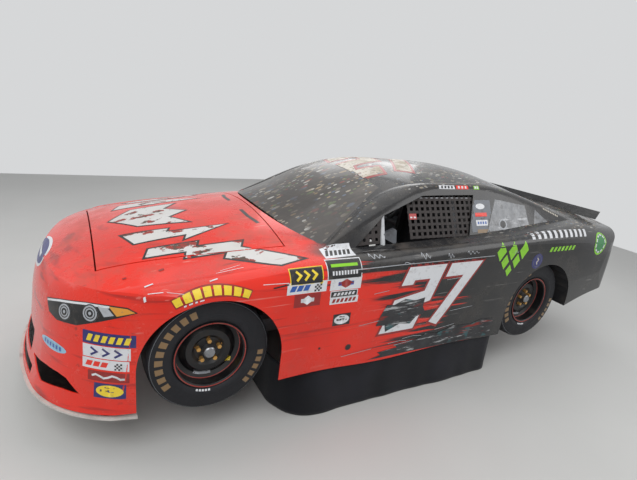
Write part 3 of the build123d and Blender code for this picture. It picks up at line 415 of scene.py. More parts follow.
MATERIALS = {
    "body_paint": paint_material(),
    "glazing": windshield_material(),
    "film": film_material(),
    "torn_white": torn_material(),
    "speckled": speckled_material(),
    "scraped": scraped_material(),
    "webbing": webbing_material(),
    "drape": cloth_material(),
    "rubber": rubber_material(),
    "core": core_material(),
    "blade": clear_material(),
    "splitter": worn_metal("splitter_plastic", tone(216, 210, 204), 0.5, dirt=0.35),
    "mesh": worn_metal("grille_wire", tone(16, 17, 18), 0.7, dirt=0.12),
    "cage": worn_metal("cage_paint", tone(150, 153, 158), 0.35, dirt=0.25),
    "sheet": worn_metal("floor_sheet", tone(128, 131, 136), 0.42, 0.35),
    "engine": worn_metal("engine_casting", tone(96, 98, 100), 0.45, 0.6),
    "can": worn_metal("fuel_can", tone(164, 36, 34), 0.35),
    "dash": worn_metal("dash_carbon", tone(38, 38, 41), 0.38, grain=240.0),
    "seat": worn_metal("seat_shell", tone(46, 47, 52), 0.5, grain=240.0),
    "steel": worn_metal("plain_steel", tone(150, 152, 156), 0.3, 0.9, dirt=0.3),
    "grip": worn_metal("soft_grip", tone(28, 28, 30), 0.75, grain=320.0),
    "iron": worn_metal("axle_paint", tone(44, 45, 48), 0.45, 0.3),
    "rim": worn_metal("wheel_paint", tone(27, 27, 29), 0.34, 0.2, dirt=0.5),
    "stand": worn_metal("stand_paint", tone(52, 54, 58), 0.4),
    "brass": worn_metal("brass_nuts", tone(214, 164, 92), 0.32, 0.55, dirt=0.25),
    "silver": worn_metal("bright_hub", tone(150, 152, 156), 0.32, 0.9, dirt=0.35),
    "pinstripe": vinyl("rim_stripe", tone(150, 40, 30), 0.4),
    "tag": vinyl("net_label", tone(176, 28, 28), 0.05),
    "sidewall": vinyl("sidewall_mark", COLOURS["gold"], 0.6),
    "post": worn_metal("post_paint", tone(206, 208, 212), 0.35, dirt=0.2),
    "mirror": worn_metal("mirror_shell", tone(92, 95, 101), 0.4, 0.3),
}
MATERIALS.update({name: vinyl("vinyl_" + name, colour) for name, colour in COLOURS.items()})

NODE_FINISH = {
    "body_paint": ("nose_cover hood fender_left fender_right cowl side_left side_right roof quarter_left"
                   " quarter_right deck_filler deck_lid tail_cover"),
    "splitter": "splitter",
    "mesh": "grille",
    "glazing": "windshield",
    "film": "rear_window quarter_windows",
    "webbing": "window_net",
    "drape": "skirt_cloth",
    "cage": "roll_cage cage_halo door_bars rear_stays nose_bars frame_rails front_clip rear_clip",
    "sheet": "floor_pan firewall rear_bulkhead",
    "engine": "engine_block gearbox",
    "core": "radiator",
    "can": "fuel_cell",
    "dash": "dashboard",
    "seat": "seat",
    "steel": "steering_column springs steering_linkage drive_shaft",
    "grip": "steering_wheel",
    "iron": "rear_axle truck_arms front_arms knuckle_left knuckle_right",
    "rubber": "tyre_fl tyre_fr tyre_rl tyre_rr",
    "rim": "wheel_fl wheel_fr wheel_rl wheel_rr",
    "stand": "display_stands",
    "blade": "spoiler",
}
for finish, names in NODE_FINISH.items():
    for name in names.split():
        slots = nodes[name].data.materials
        slots.clear()
        slots.append(MATERIALS[finish])


def smooth_panels():
    """Shades the curved panels smoothly, with their real edges kept sharp."""
    for node in nodes.values():
        mesh = node.data
        mesh.shade_smooth()
        mesh.set_sharp_from_angle(angle=radians(32))


def make_piece(name, verts, faces, material, body, smooth=False):
    """A new mesh piece in the row frame, on its body."""
    mesh = bpy.data.meshes.new(name)
    mesh.from_pydata([tuple(v) for v in verts], [], faces)
    mesh.validate()
    mesh.materials.append(MATERIALS[material])
    if smooth:
        mesh.shade_smooth()
    piece = bpy.data.objects.new(name, mesh)
    bpy.context.scene.collection.objects.link(piece)
    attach(piece, body)
    return piece


def face_outward(piece):
    """Turns the faces of a closed piece to its outside."""
    bm = bmesh.new()
    bm.from_mesh(piece.data)
    bmesh.ops.recalc_face_normals(bm, faces=bm.faces[:])
    bm.to_mesh(piece.data)
    bm.free()


def surface(names):
    """Some CAD nodes as one surface that things are laid on."""
    verts, faces = [], []
    for name in names.split():
        mesh = nodes[name].data
        first = len(verts)
        verts += [v.co.copy() for v in mesh.vertices]
        faces += [[first + k for k in polygon.vertices] for polygon in mesh.polygons]
    return BVHTree.FromPolygons(verts, faces)


# The surfaces that most graphics are laid on
FLANK = surface("nose_cover fender_left fender_right side_left side_right quarter_left quarter_right"
                " tail_cover")
HOOD, ROOF, GLASS = surface("hood"), surface("roof"), surface("quarter_windows")
FOOT = surface("side_left side_right fender_left fender_right roof")


class Board:
    """A flat drawing board in front of a surface: right and up span it, and look is where it is pressed.

    Places are given as on the left side; the board tagged right mirrors them.
    """

    def __init__(self, tag, origin, look, slot, skin=FLANK, up=(0, 0, 1), body="chassis"):
        self.tag, self.skin, self.slot, self.body = tag, skin, slot, body
        self.mirror = Vector((1, SIDES.get(tag, 1), 1))
        self.look = (Vector(look) * self.mirror).normalized()
        self.right = self.look.cross(Vector(up) * self.mirror).normalized()
        self.up = self.right.cross(self.look)
        self.origin = Vector(origin) * self.mirror - self.look * STAND_OFF

    def flat(self, places):
        """Where these places of the row frame are on the board."""
        away = [Vector(place) * self.mirror - self.origin for place in places]
        return [(v.dot(self.right), v.dot(self.up)) for v in away]

    def side_on(self, places):
        """Where these x and z are on a board that looks along y."""
        return self.flat([(x, 0, z) for x, z in places])

    def lay(self, name, shapes, material, layer=1, pitch=PITCH, part=None):
        """Presses flat polygons on the surface: cut on a grid of this pitch, each corner dropped onto it."""
        bm = bmesh.new()
        for shape in shapes:
            bm.faces.new([bm.verts.new((a, b, 0)) for a, b in shape])
        bmesh.ops.triangulate(bm, faces=bm.faces[:])
        for axis in (0, 1):
            values = [v.co[axis] for v in bm.verts]
            normal = Vector((1 - axis, axis, 0))
            for k in range(int(min(values) // pitch) + 1, int(max(values) // pitch) + 1):
                geometry = bm.verts[:] + bm.edges[:] + bm.faces[:]
                bmesh.ops.bisect_plane(bm, geom=geometry, plane_co=normal * k * pitch, plane_no=normal)
        lost = []
        for vert in bm.verts:
            start = self.origin + self.right * vert.co.x + self.up * vert.co.y
            hit, normal, _, _ = self.skin.ray_cast(start, self.look)
            if hit is None:
                lost.append(vert)
            else:
                away = -normal if normal.dot(self.look) > 0 else normal
                vert.co = hit + away * (layer * LAYER)
        bmesh.ops.delete(bm, geom=lost, context="VERTS")
        bmesh.ops.triangulate(bm, faces=[f for f in bm.faces if len(f.verts) > 3])
        torn = [f for f in bm.faces if max(e.calc_length() for e in f.edges) > 4 * pitch]
        bmesh.ops.delete(bm, geom=torn, context="FACES")
        bmesh.ops.recalc_face_normals(bm, faces=bm.faces[:])
        verts = [v.co.copy() for v in bm.verts]
        bm.verts.index_update()
        faces = [[v.index for v in f.verts] for f in bm.faces]
        bm.free()
        if faces:
            whole = "_".join(word for word in (name, self.tag, part) if word)
            make_piece(whole, verts, faces, material, self.body, smooth=True)

    def label(self, name, width, height, base, inks, kind, border=None):
        """One sticker: a border, a base and its pattern, each a layer above the last."""
        layer = 1
        if border:
            self.lay(name, [slab(width + 2 * BORDER, height + 2 * BORDER)], border, part="border")
            layer = 2
        self.lay(name, [slab(width, height)], base, layer, part="base")
        for k, (ink, shapes) in enumerate(motif(kind, width, height)):
            self.lay(name, shapes, inks[ink], layer + 1, part=f"ink{k}")

    def number(self, name, height, width, face="white"):
        """The two-figure race number: bars of the face's colour on a wider red edge."""
        for part, thick, layer, material in (("edge", 0.27, 1, "deep_red"), ("face", 0.20, 2, face)):
            shapes = []
            for figure in FIGURES:
                points = [(a * height * width * 0.8, b * height * 0.9) for a, b in figure]
                if part == "edge":
                    points = lengthened(points, EDGE_MORE * height)
                shapes += stroke(points, thick * height, NUMBER_LEAN)
            self.lay(name, shapes, material, layer, part=part)


def slab(width, height, slant=0.0, at=(0, 0)):
    """A rectangle or leaning parallelogram about a point."""
    w, h, s = width / 2, height / 2, slant / 2
    corners = [(-w - s, -h), (w - s, -h), (w + s, h), (-w + s, h)]
    return [(at[0] + a, at[1] + b) for a, b in corners]


def disc(width, height, at=(0, 0), points=28):
    """An ellipse about a point."""
    angles = [2 * pi * k / points for k in range(points)]
    return [(at[0] + width / 2 * cos(angle), at[1] + height / 2 * sin(angle)) for angle in angles]


def gem(wide, tall, at=(0, 0)):
    """A diamond about a point, with its half width and half height."""
    return [(at[0] - wide, at[1]), (at[0], at[1] - tall), (at[0] + wide, at[1]), (at[0], at[1] + tall)]


def ring(radius, band, start=0.0, stop=360.0, at=(0, 0), steps=24):
    """A flat ring or a part of one, as separate quads; angles in degrees."""
    quads = []
    inner, outer = radius - band / 2, radius + band / 2
    for k in range(steps):
        a0, a1 = (radians(start + (stop - start) * (k + d) / steps) for d in (0, 1))
        corners = ((inner, a0), (outer, a0), (outer, a1), (inner, a1))
        quads.append([(at[0] + r * cos(a), at[1] + r * sin(a)) for r, a in corners])
    return quads


def dashes(radius, band, starts, length, steps=2):
    """Parts of a flat ring that begin at these angles and are this long, in degrees."""
    return [quad for start in starts for quad in ring(radius, band, start, start + length, steps=steps)]


def stroke(points, width, shear=0.0):
    """A bent bar along these points with mitred corners, as quads, leaning over by shear."""
    rails = []
    for k, point in enumerate(points):
        before = Vector(points[max(k - 1, 0)])
        after = Vector(points[min(k + 1, len(points) - 1)])
        here = Vector(point)
        first = (here - before).normalized() if k else (after - here).normalized()
        last = (after - here).normalized() if k < len(points) - 1 else first
        across = Vector((-first.y, first.x))
        bisector = (across + Vector((-last.y, last.x))).normalized()
        reach = width / 2 / max(bisector.dot(across), 0.35)
        rails.append((here + bisector * reach, here - bisector * reach))
    quads = []
    for (a, b), (c, d) in zip(rails, rails[1:]):
        quads.append([(p.x + shear * p.y, p.y) for p in (a, b, d, c)])
    return quads


# How much the race number leans, and the share of its height by which its edge's ends are longer
NUMBER_LEAN, EDGE_MORE = 0.35, 0.035
# The race number, as bars on a board one unit high
FIGURES = (
    [(-0.92, 0.24), (-0.92, 0.42), (-0.18, 0.42), (-0.18, 0.02), (-0.92, -0.08), (-0.92, -0.42),
     (-0.14, -0.42)],
    [(0.12, 0.42), (0.88, 0.42), (0.42, -0.50)],
)


def lengthened(points, extra):
    """The same line with its first and last bar longer."""
    first, second, before, last = (Vector(points[k]) for k in (0, 1, -2, -1))
    start = first + (first - second).normalized() * extra
    end = last + (last - before).normalized() * extra
    return [tuple(start), *points[1:-1], tuple(end)]


def bars(count, width, height, span, at=(0, 0), slant=0.0):
    """A row of like bars that fills a span."""
    step = span / count
    return [slab(width, height, slant, (at[0] - span / 2 + step * (k + 0.5), at[1])) for k in range(count)]


def checks(columns, rows, size, at=(0, 0)):
    """A small chequer."""
    shapes = []
    for i in range(columns):
        for j in range(rows):
            if (i + j) % 2 == 0:
                place = (at[0] + (i - columns / 2) * size, at[1] + (j - rows / 2) * size)
                shapes.append(slab(size, size, 0, place))
    return shapes


def motif(kind, w, h):
    """A sticker's plain pattern, as pairs of an ink's number and shapes; a kind not listed is a wave."""
    if kind == "bars":
        return [(0, bars(6, w * 0.09, h * 0.55, w * 0.86, slant=h * 0.2))]
    if kind == "lines":
        row = bars(9, w * 0.05, h * 0.22, w * 0.8, (0, -h * 0.2))
        return [(0, [slab(w * 0.8, h * 0.16, 0, (0, h * 0.2))]), (1, row)]
    if kind == "arrows":
        arms = [stroke([(c - w * 0.07, h * 0.3), (c + w * 0.06, 0), (c - w * 0.07, -h * 0.3)], h * 0.16)
                for c in (-w * 0.25, 0, w * 0.25)]
        return [(0, [quad for arm in arms for quad in arm])]
    if kind == "lozenge":
        return [(0, [gem(w * 0.26, h * 0.36)]), (1, bars(2, w * 0.1, h * 0.3, w * 0.8))]
    if kind == "checks":
        row = bars(3, w * 0.13, h * 0.5, w * 0.5, (-w * 0.18, 0), h * 0.2)
        return [(0, row), (1, checks(4, 4, h / 6, (w * 0.3, 0)))]
    if kind == "oval":
        lines = [slab(w * 0.6, h * 0.16), slab(w * 0.3, h * 0.1, 0, (0, h * 0.24))]
        return [(0, [disc(w * 0.86, h * 0.8)]), (1, lines)]
    line = [(w * (k / 8 - 0.5) * 0.8, h * 0.16 * sin(k * 1.5)) for k in range(9)]
    return [(0, stroke(line, h * 0.2))]


# Stickers on the flanks: name, x, z, width, height, lean of the board in degrees, base, inks, pattern, border
FLANK_LABELS = (
    ("fender_top", 0.980, 1.035, 0.205, 0.090, 40, "black", ("yellow", "yellow"), "arrows", "yellow"),
    ("fender_middle", 0.975, 0.956, 0.262, 0.072, 0, "white", ("blue", "black"), "checks", None),
    ("fender_low", 0.965, 0.874, 0.176, 0.084, 0, "deep_red", ("white", "white"), "lozenge", None),
    ("door_top", 0.722, 1.052, 0.232, 0.115, 22, "black", ("green", "white"), "lines", "white"),
    ("door_middle", 0.708, 0.958, 0.222, 0.084, 0, "white", ("deep_red", "blue"), "lozenge", None),
    ("door_strip", 0.712, 0.889, 0.186, 0.036, 0, "black", ("white", "white"), "bars", "white"),
    ("door_low", 0.706, 0.845, 0.205, 0.046, 0, "white", ("deep_red", "deep_red"), "bars", None),
    ("door_foot", 0.702, 0.708, 0.128, 0.082, 0, "black", ("white", "black"), "oval", None),
)
# Stickers on the corner of the nose: name, distance round the corner, z, width, height, base, inks, pattern
NOSE_LABELS = (
    ("nose_a", 0.0, 0.727, 0.275, 0.070, "navy", ("yellow", "yellow"), "bars"),
    ("nose_b", -0.012, 0.652, 0.250, 0.070, "white", ("navy", "navy"), "arrows"),
    ("nose_c", -0.016, 0.583, 0.245, 0.058, "white", ("red", "black"), "checks"),
    ("nose_d", 0.0, 0.515, 0.215, 0.056, "deep_red", ("white", "white"), "wave"),
    ("nose_e", 0.010, 0.436, 0.165, 0.082, "navy", ("yellow", "navy"), "oval"),
)
NOSE_CORNER, NOSE_LOOK = (2.02, 0.85), (-0.50, -0.866, 0)
# Diamonds on the quarter: place on the board, and size
GEMS = ((-0.13, 0.075, 0.075), (0.0, 0.075, 0.075), (0.13, 0.075, 0.075), (-0.065, -0.01, 0.062),
        (0.065, -0.01, 0.062), (0.0, -0.085, 0.05))
# Marks over the front arch: its centre, their radius, where they start, the arc that they share, how many
ARCH_X, ARCH_Z, ARCH_RADIUS, ARCH_START, ARCH_SPAN, ARCH_MARKS = 1.501, 0.528, 0.458, 67, 53, 8

# Headlight outline and its parts, measured on the left side; the right side is its mirror image
LAMP_OUTLINE = ((2.296, 0.517, 0.838), (2.235, 0.630, 0.872), (2.120, 0.760, 0.902), (2.010, 0.846, 0.910),
                (1.935, 0.888, 0.908), (1.890, 0.912, 0.884), (1.976, 0.878, 0.852), (2.060, 0.830, 0.818),
                (2.160, 0.740, 0.768), (2.250, 0.630, 0.755), (2.285, 0.560, 0.775))
LAMP_BROW = ((2.290, 0.525, 0.829), (2.235, 0.630, 0.862), (2.120, 0.760, 0.892), (2.015, 0.842, 0.899))
LAMP_TAIL = ((2.018, 0.840, 0.903), (1.935, 0.886, 0.901), (1.900, 0.907, 0.884), (1.985, 0.872, 0.858))
LAMP_PANEL = ((2.068, 0.806, 0.896), (2.028, 0.833, 0.900), (1.996, 0.864, 0.860), (2.040, 0.838, 0.846))
LAMP_LENSES, LENS_RADIUS = ((2.215, 0.672, 0.818), (2.100, 0.787, 0.850)), 0.047
# Rings in a lens: share of its radius, and width
LENS_RINGS = ((0.93, 0.006), (0.62, 0.005), (0.3, 0.01))


def leaning(degrees):
    """The look of a board on the left side that leans back by so many degrees."""
    return (0, -cos(radians(degrees)), -sin(radians(degrees)))


def flank_graphics():
    """Stickers, race numbers, diamonds and rows of bars on both flanks."""
    for side in SIDES:
        for name, x, z, width, height, lean, *style in FLANK_LABELS:
            spot = Board(side, (x, 0.97, z), leaning(lean), "front_paint")
            spot.label(name, width, height, *style)
        Board(side, (-0.045, FLANK_Y, 0.785), INWARD, "side_paint").number("door_number", 0.50, 0.80)
        board = Board(side, (-0.80, FLANK_Y, 1.0), INWARD, "rear_paint")
        board.lay("quarter_gems", [gem(size * 0.7, size, (a, b)) for a, b, size in GEMS], "green")
        shoulder = Board(side, (-1.42, 0.93, 1.175), leaning(35), "rear_paint")
        shoulder.lay("quarter_bars", bars(11, 0.036, 0.072, 0.80, slant=0.03), "white")
        under = Board(side, (-1.44, 0.975, 1.06), INWARD, "rear_paint")
        under.lay("quarter_dashes", bars(7, 0.030, 0.040, 0.36, slant=0.015), "green")
        dot = Board(side, (-2.037, 0.957, 1.068), (0.08, -0.93, -0.36), "rear_paint")
        dot.lay("tail_disc", [disc(0.206, 0.206)], "leaf")
        dot.lay("tail_disc_edge", ring(0.095, 0.014), "green", 2)
        dot.lay("tail_disc_ring", dashes(0.077, 0.016, range(0, 360, 36), 24, 3), "white", 2)
        arch = Board(side, (ARCH_X, FLANK_Y, ARCH_Z), INWARD, "front_paint")
        middles = [ARCH_START + ARCH_SPAN * (k + 0.5) / ARCH_MARKS for k in range(ARCH_MARKS)]
        if side == "right":
            middles = [180 - middle for middle in middles]
        for name, band, half, colour, layer in (("arch_edge", 0.058, 3.3, "deep_red", 1),
                                                ("arch_marks", 0.044, 2.5, "yellow", 2)):
            marks = dashes(ARCH_RADIUS, band, [middle - half for middle in middles], 2 * half)
            arch.lay(name, marks, colour, layer)


def nose_graphics():
    """Stickers round the corners of the nose, the printed headlights, the oval in the middle and painted shade
    on the splitter's top under the nose.
    """
    for side, s in SIDES.items():
        for name, along, z, width, height, *style in NOSE_LABELS:
            spot = Board(side, (*NOSE_CORNER, z), NOSE_LOOK, "front_paint")
            spot.origin += spot.right * along * s
            spot.label(name, width, height, *style)
        lamp = Board(side, (2.13, 0.75, 0.85), (-0.64, -0.72, -0.22), "front_paint")
        lamp.lay("lamp", [lamp.flat(LAMP_OUTLINE)], "ink")
        lamp.lay("lamp_brow", stroke(lamp.flat(LAMP_BROW), 0.011), "white", 2)
        lamp.lay("lamp_tail", [lamp.flat(LAMP_TAIL)], "amber", 2)
        lamp.lay("lamp_panel", [lamp.flat(LAMP_PANEL)], "silver_grey", 2)
        for k, at in enumerate(lamp.flat(LAMP_LENSES)):
            lens = disc(LENS_RADIUS * 2, LENS_RADIUS * 2, at)
            lamp.lay(f"lamp_lens{k}", [lens], "silver_grey", 2, PITCH / 2)
            rings = [quad for share, band in LENS_RINGS for quad in ring(LENS_RADIUS * share, band, at=at)]
            lamp.lay(f"lamp_rings{k}", rings, "ink", 3, PITCH / 2)
        pill = Board(side, (2.275, 0.605, 0.600), (-0.86, -0.50, 0), "front_paint")
        pill.lay("nose_pill", [disc(0.235, 0.056)], "sky")
        pill.lay("nose_pill_bars", bars(6, 0.016, 0.022, 0.17), "blue", 2)
    badge = Board(None, (2.30, 0, 0.900), (-0.80, 0, -0.60), "front_paint")
    badge.lay("nose_oval", [disc(0.42, 0.150)], "white")
    badge.lay("nose_oval_blue", [disc(0.38, 0.112)], "navy", 2)
    badge.lay("nose_oval_bar", [slab(0.20, 0.028)], "white", 3)
    # The splitter's top under the nose is inked dark as painted shade
    under = Board(None, (2.1, 0, 0.29), DOWN, "splitter_blade", surface("splitter"), AHEAD)
    edge = [(x, -y) for x, y in reversed(SPLITTER_INSIDE)] + list(SPLITTER_INSIDE)
    under.lay("splitter_inside", [under.flat([(x, y, 0.283) for x, y in edge])], "ink")


# The splitter's top behind the nose's skin, inked dark as painted shade under the nose: left half from above,
# in row metres
SPLITTER_INSIDE = ((2.450, 0.002), (2.443, 0.150), (2.424, 0.300), (2.391, 0.450), (2.357, 0.550),
                   (2.302, 0.650), (2.249, 0.720), (2.190, 0.780), (2.115, 0.840), (2.050, 0.880),
                   (1.930, 0.900))
# Torn white flashes with dark edges on the hood, left half, as outlines in row metres from above
HOOD_DART = ((1.950, 0.000), (1.800, 0.190), (1.500, 0.235), (1.600, 0.100), (1.470, 0.000))
HOOD_FLASHES = (
    ((1.905, 0.285), (1.640, 0.300), (1.660, 0.345), (1.290, 0.350), (1.570, 0.470), (1.548, 0.415),
     (1.850, 0.430)),
    ((1.785, 0.520), (1.510, 0.520), (1.530, 0.575), (1.255, 0.590), (1.285, 0.655), (0.960, 0.860),
     (1.115, 0.885), (1.400, 0.735), (1.370, 0.680), (1.610, 0.672), (1.590, 0.610), (1.815, 0.600)),
)
# The hood's side edge from above, at its front and its rear, and the gap beside it
HOOD_EDGE, HOOD_GAP = ((2.058, 0.600), (1.030, 0.715)), 0.008


def clipped(shape, point, normal):
    """The part of a flat outline on the side of a line that normal points away from."""
    def depth(place):
        return (place[0] - point[0]) * normal[0] + (place[1] - point[1]) * normal[1]

    kept = []
    for here, after in zip(shape, shape[1:] + shape[:1]):
        a, b = depth(here), depth(after)
        if a <= 0:
            kept.append(here)
        if (a < 0 < b) or (b < 0 < a):
            t = a / (a - b)
            kept.append((here[0] + (after[0] - here[0]) * t, here[1] + (after[1] - here[1]) * t))
    return kept


def outline(shape, width):
    """A band along the edge of a closed outline, as quads."""
    return stroke([*shape, *shape[:2]], width)


def hood_graphics():
    """Torn white flashes with dark edges across the hood and onto the rear of the fenders."""
    (x0, y0), (x1, y1) = HOOD_EDGE
    slope = (y1 - y0) / (x0 - x1)
    dart = HOOD_DART + tuple((x, -y) for x, y in HOOD_DART[-2:0:-1])
    panels = (("hood", HOOD, "hood", 1, 0.0), ("fender", FLANK, "chassis", -1, HOOD_GAP))
    for k, points in enumerate((dart, *HOOD_FLASHES)):
        for side in SIDES if k else ("left",):
            for part, layer, material in (("edge", 1, "ink"), ("face", 2, "torn_white")):
                shapes = [points] if part == "face" else outline(points, 0.026)
                for where, skin, body, sign, gap in panels:
                    board = Board(side, (0, 0, 1.2), DOWN, "front_paint", skin, AHEAD, body)
                    pieces = [clipped(shape, (x0, y0 + gap), (sign * slope, sign)) for shape in shapes]
                    if where == "hood":
                        pieces = [clipped(shape, (x1, 0), (-1, 0)) for shape in pieces if len(shape) > 2]
                    flat = [board.flat([(x, y, 0) for x, y in shape]) for shape in pieces if len(shape) > 2]
                    if flat:
                        board.lay(f"{where}_flash{k}_{part}", flat, material, layer)


# Marks on the roof's side rails: place ahead of the rail's middle, width, base, ink and number of bars
RAIL_MARKS = ((0.150, 0.160, "white", "ink", 4), (-0.010, 0.130, "red", "white", 3),
              (-0.165, 0.060, "green", "white", 2))


def roof_graphics():
    """The number on the roof, the strips over the doors and the plates behind the side windows."""
    top = Board(None, (-0.10, 0, 1.57), DOWN, "rear_paint", ROOF, INWARD)
    top.number("roof_number", 0.74, 0.62, "speckled")
    for side, s in SIDES.items():
        rail = Board(side, (-0.47, 0.62, 1.485), (0, -0.80, -0.60), "rear_paint", ROOF)
        for k, (at, wide, base, ink, count) in enumerate(RAIL_MARKS):
            rail.lay(f"rail_base{k}", [slab(wide, 0.034, 0.012, (-s * at, 0))], base)
            rail.lay(f"rail_ink{k}", bars(count, 0.018, 0.022, wide * 0.84, (-s * at, 0), 0.01), ink, 2)
        post = Board(side, (-0.64, 0.80, 1.30), (0, -0.87, -0.50), "rear_paint", ROOF)
        post.lay("post_plate", [slab(0.235, 0.30)], "plate")
        post.lay("post_oval", [disc(0.10, 0.045, (0, 0.10))], "white", 2)
        post.lay("post_red", [slab(0.13, 0.03, 0, (0, 0.035))], "red", 2)
        post.lay("post_white", [slab(0.13, 0.045, 0, (0, -0.03))], "white", 2)
        post.lay("post_blue", bars(4, 0.016, 0.02, 0.11, (0, -0.03)), "blue", 3)
        post.lay("post_gold", [slab(0.12, 0.028, 0, (0, -0.095))], "gold", 2)


# Marks on a tyre's wall: angle of the first, how many, angle between two, radius of their middle, height
WALL_MARKS = ((112, 10, 11.0, 0.287, 0.042), (-43, 5, 9.5, 0.294, 0.036))
# Nuts and hub: radius of the nuts' circle, reach of one nut, radius of the hub's stub, where both start
NUT_CIRCLE, NUT_REACH, STUB_REACH, STUB_START = 0.0635, 0.019, 0.036, 0.064


def metal_parts(w, centre, s):
    """Brass on the faces of the wheel's nuts and bright metal on the hub's stub."""
    mesh = nodes[f"wheel_{w}"].data
    first = len(mesh.materials)
    mesh.materials.append(MATERIALS["brass"])
    mesh.materials.append(MATERIALS["silver"])
    angles = [radians(90 + 72 * k) for k in range(5)]
    nuts = [Vector((NUT_CIRCLE * cos(angle), NUT_CIRCLE * sin(angle))) for angle in angles]
    for face in mesh.polygons:
        away = face.center - centre
        if s * away.y < STUB_START:
            continue
        across = Vector((away.x, away.z))
        if across.length < STUB_REACH:
            face.material_index = first + 1
        elif min((across - nut).length for nut in nuts) < NUT_REACH:
            face.material_index = first


# Pen strokes on the shoulder below the side window: x, z, length, height, number of waves
SCRAWLS = ((0.47, 1.100, 0.115, 0.010, 3), (0.23, 1.054, 0.080, 0.008, 1), (0.085, 1.090, 0.075, 0.022, 2),
           (-0.145, 1.080, 0.055, 0.020, 2), (-0.36, 1.092, 0.120, 0.014, 3), (-0.83, 1.070, 0.070, 0.016, 2))
# Where a wall rubbed the left side, as outlines of x and z: the patch under the number and the rocker
RUBBED = (
    ((0.395, 0.690), (0.355, 0.765), (0.290, 0.758), (0.205, 0.792), (0.110, 0.770), (0.025, 0.782),
     (0.030, 0.715), (-0.005, 0.660), (0.075, 0.640), (0.120, 0.590), (0.215, 0.604), (0.330, 0.556),
     (0.345, 0.610), (0.420, 0.615)),
    ((0.430, 0.350), (0.330, 0.372), (0.360, 0.398), (0.190, 0.410), (0.230, 0.436), (0.020, 0.446),
     (-0.060, 0.478), (-0.180, 0.466), (-0.330, 0.502), (-0.520, 0.486), (-0.640, 0.516),
     (-0.775, 0.500), (-0.775, 0.350)),
)
SCRATCHES = (((0.280, 0.455), (0.170, 0.462), (0.120, 0.452)), ((0.215, 0.432), (0.060, 0.442)),
             ((0.160, 0.474), (0.060, 0.482), (-0.020, 0.470)), ((-0.140, 0.500), (-0.330, 0.520)),
             ((0.660, 0.425), (0.420, 0.440)), ((0.560, 0.640), (0.400, 0.655)),
             ((-0.250, 0.640), (-0.480, 0.652)), ((-0.150, 0.900), (-0.300, 0.905)),
             ((0.480, 0.860), (0.360, 0.872)))
# The shoulder's crease as x and z; a dark line of painted shade is laid along it
CREASE = ((0.675, 1.026), (0.306, 1.036), (-0.250, 1.038), (-0.600, 1.040))
# The painted highlight along the crease: how far it lies above the crease, and its width
HIGHLIGHT_LIFT, HIGHLIGHT_WIDTH = 0.012, 0.005
# Holes in the rocker, each drawn as a dark disc of painted shade in a red ring: x, z and radius
ROCKER_HOLES = ((0.616, 0.489, 0.019), (0.835, 0.520, 0.007), (-0.72, 0.470, 0.007))
# The slot at the hood's rear as x, y and z; it is drawn as a dark stroke of painted shade
COWL_SLOT = ((1.112, 0.130, 1.2), (1.108, 0.270, 1.2), (1.080, 0.400, 1.2))


def small_marks():
    """Pen strokes, painted shade and a painted highlight along the shoulder's crease, rocker holes, pillar
    marks, the quarter windows' openings and the cowl slot; the holes, openings and slot are dark discs and
    strokes of painted shade.
    """
    for side in SIDES:
        board = Board(side, (0, FLANK_Y, 1.0), INWARD, "side_paint")
        for k, (x, z, length, height, waves) in enumerate(SCRAWLS):
            line = []
            for step in range(waves * 8 + 1):
                t = step / (waves * 8)
                swing = height * sin(2 * pi * waves * t) * (1.0 - 0.5 * t)
                line.append((x - length * (t - 0.5) + 0.3 * swing, z + swing))
            board.lay(f"scrawl{k}", stroke(board.side_on(line), 0.004), "silver_grey")
        # Painted shade along the shoulder's crease, and a thin painted highlight just above it
        crease = board.side_on(CREASE)
        board.lay("crease", stroke(crease, 0.016), "ink")
        highlight = [(a, b + HIGHLIGHT_LIFT) for a, b in crease]
        board.lay("crease_shine", stroke(highlight, HIGHLIGHT_WIDTH), "silver_grey", 2)
        for k, (x, z, radius) in enumerate(ROCKER_HOLES):
            at = board.side_on([(x, z)])[0]
            board.lay(f"rocker_ring{k}", [disc(radius * 2.5, radius * 2.5, at)], "deep_red")
            # The hole itself is a dark disc of painted shade
            board.lay(f"rocker_hole{k}", [disc(radius * 2, radius * 2, at)], "ink", 2)
        rear = Board(side, (-1.134, FLANK_Y, 0.968), INWARD, "rear_paint")
        rear.lay("round_sticker", [disc(0.130, 0.130)], "navy")
        rear.lay("round_sticker_ring", ring(0.046, 0.005), "plate", 2)
        hook = [(-0.008, 0.030), (0.012, 0.010), (-0.006, -0.008), (0.006, -0.030)]
        rear.lay("round_sticker_hook", stroke(hook, 0.010), "cream", 2)
        pillar = Board(side, (-1.55, 0.72, 1.30), (0, -0.89, -0.45), "rear_paint", ROOF)
        marks = []
        for k in range(9):
            ends = [(-1.450 - 0.023 * k - d, 0.72, 1.345 - 0.0095 * k - 0.4 * d) for d in (0.0, 0.015)]
            marks += stroke(pillar.flat(ends), 0.016)
        pillar.lay("pillar_marks", marks, "cream")
        # The round vent in each quarter window: a pale ring round a dark disc of painted shade where the
        # opening is
        window = Board(side, (-0.882, 0.79, 1.236), (0, -0.90, -0.43), "window", GLASS)
        window.lay("vent_ring", [disc(0.092, 0.086)], "silver_grey")
        window.lay("vent_hole", [disc(0.068, 0.062)], "ink", 2)
        # The cowl slot: a dark stroke of painted shade on the hood
        cowl = Board(side, (1.10, 0, 1.25), DOWN, "front_paint", HOOD, AHEAD, "hood")
        cowl.lay("cowl_slot", stroke(cowl.flat(COWL_SLOT), 0.026), "ink")
        base = Board(side, (0.722, 0.855, 1.14), (-0.157, -0.246, -0.957), "side_paint", FOOT, (0, 0.6, -0.2))
        base.label("pillar_label", 0.215, 0.105, "white", ("ink", "ink"), "bars")


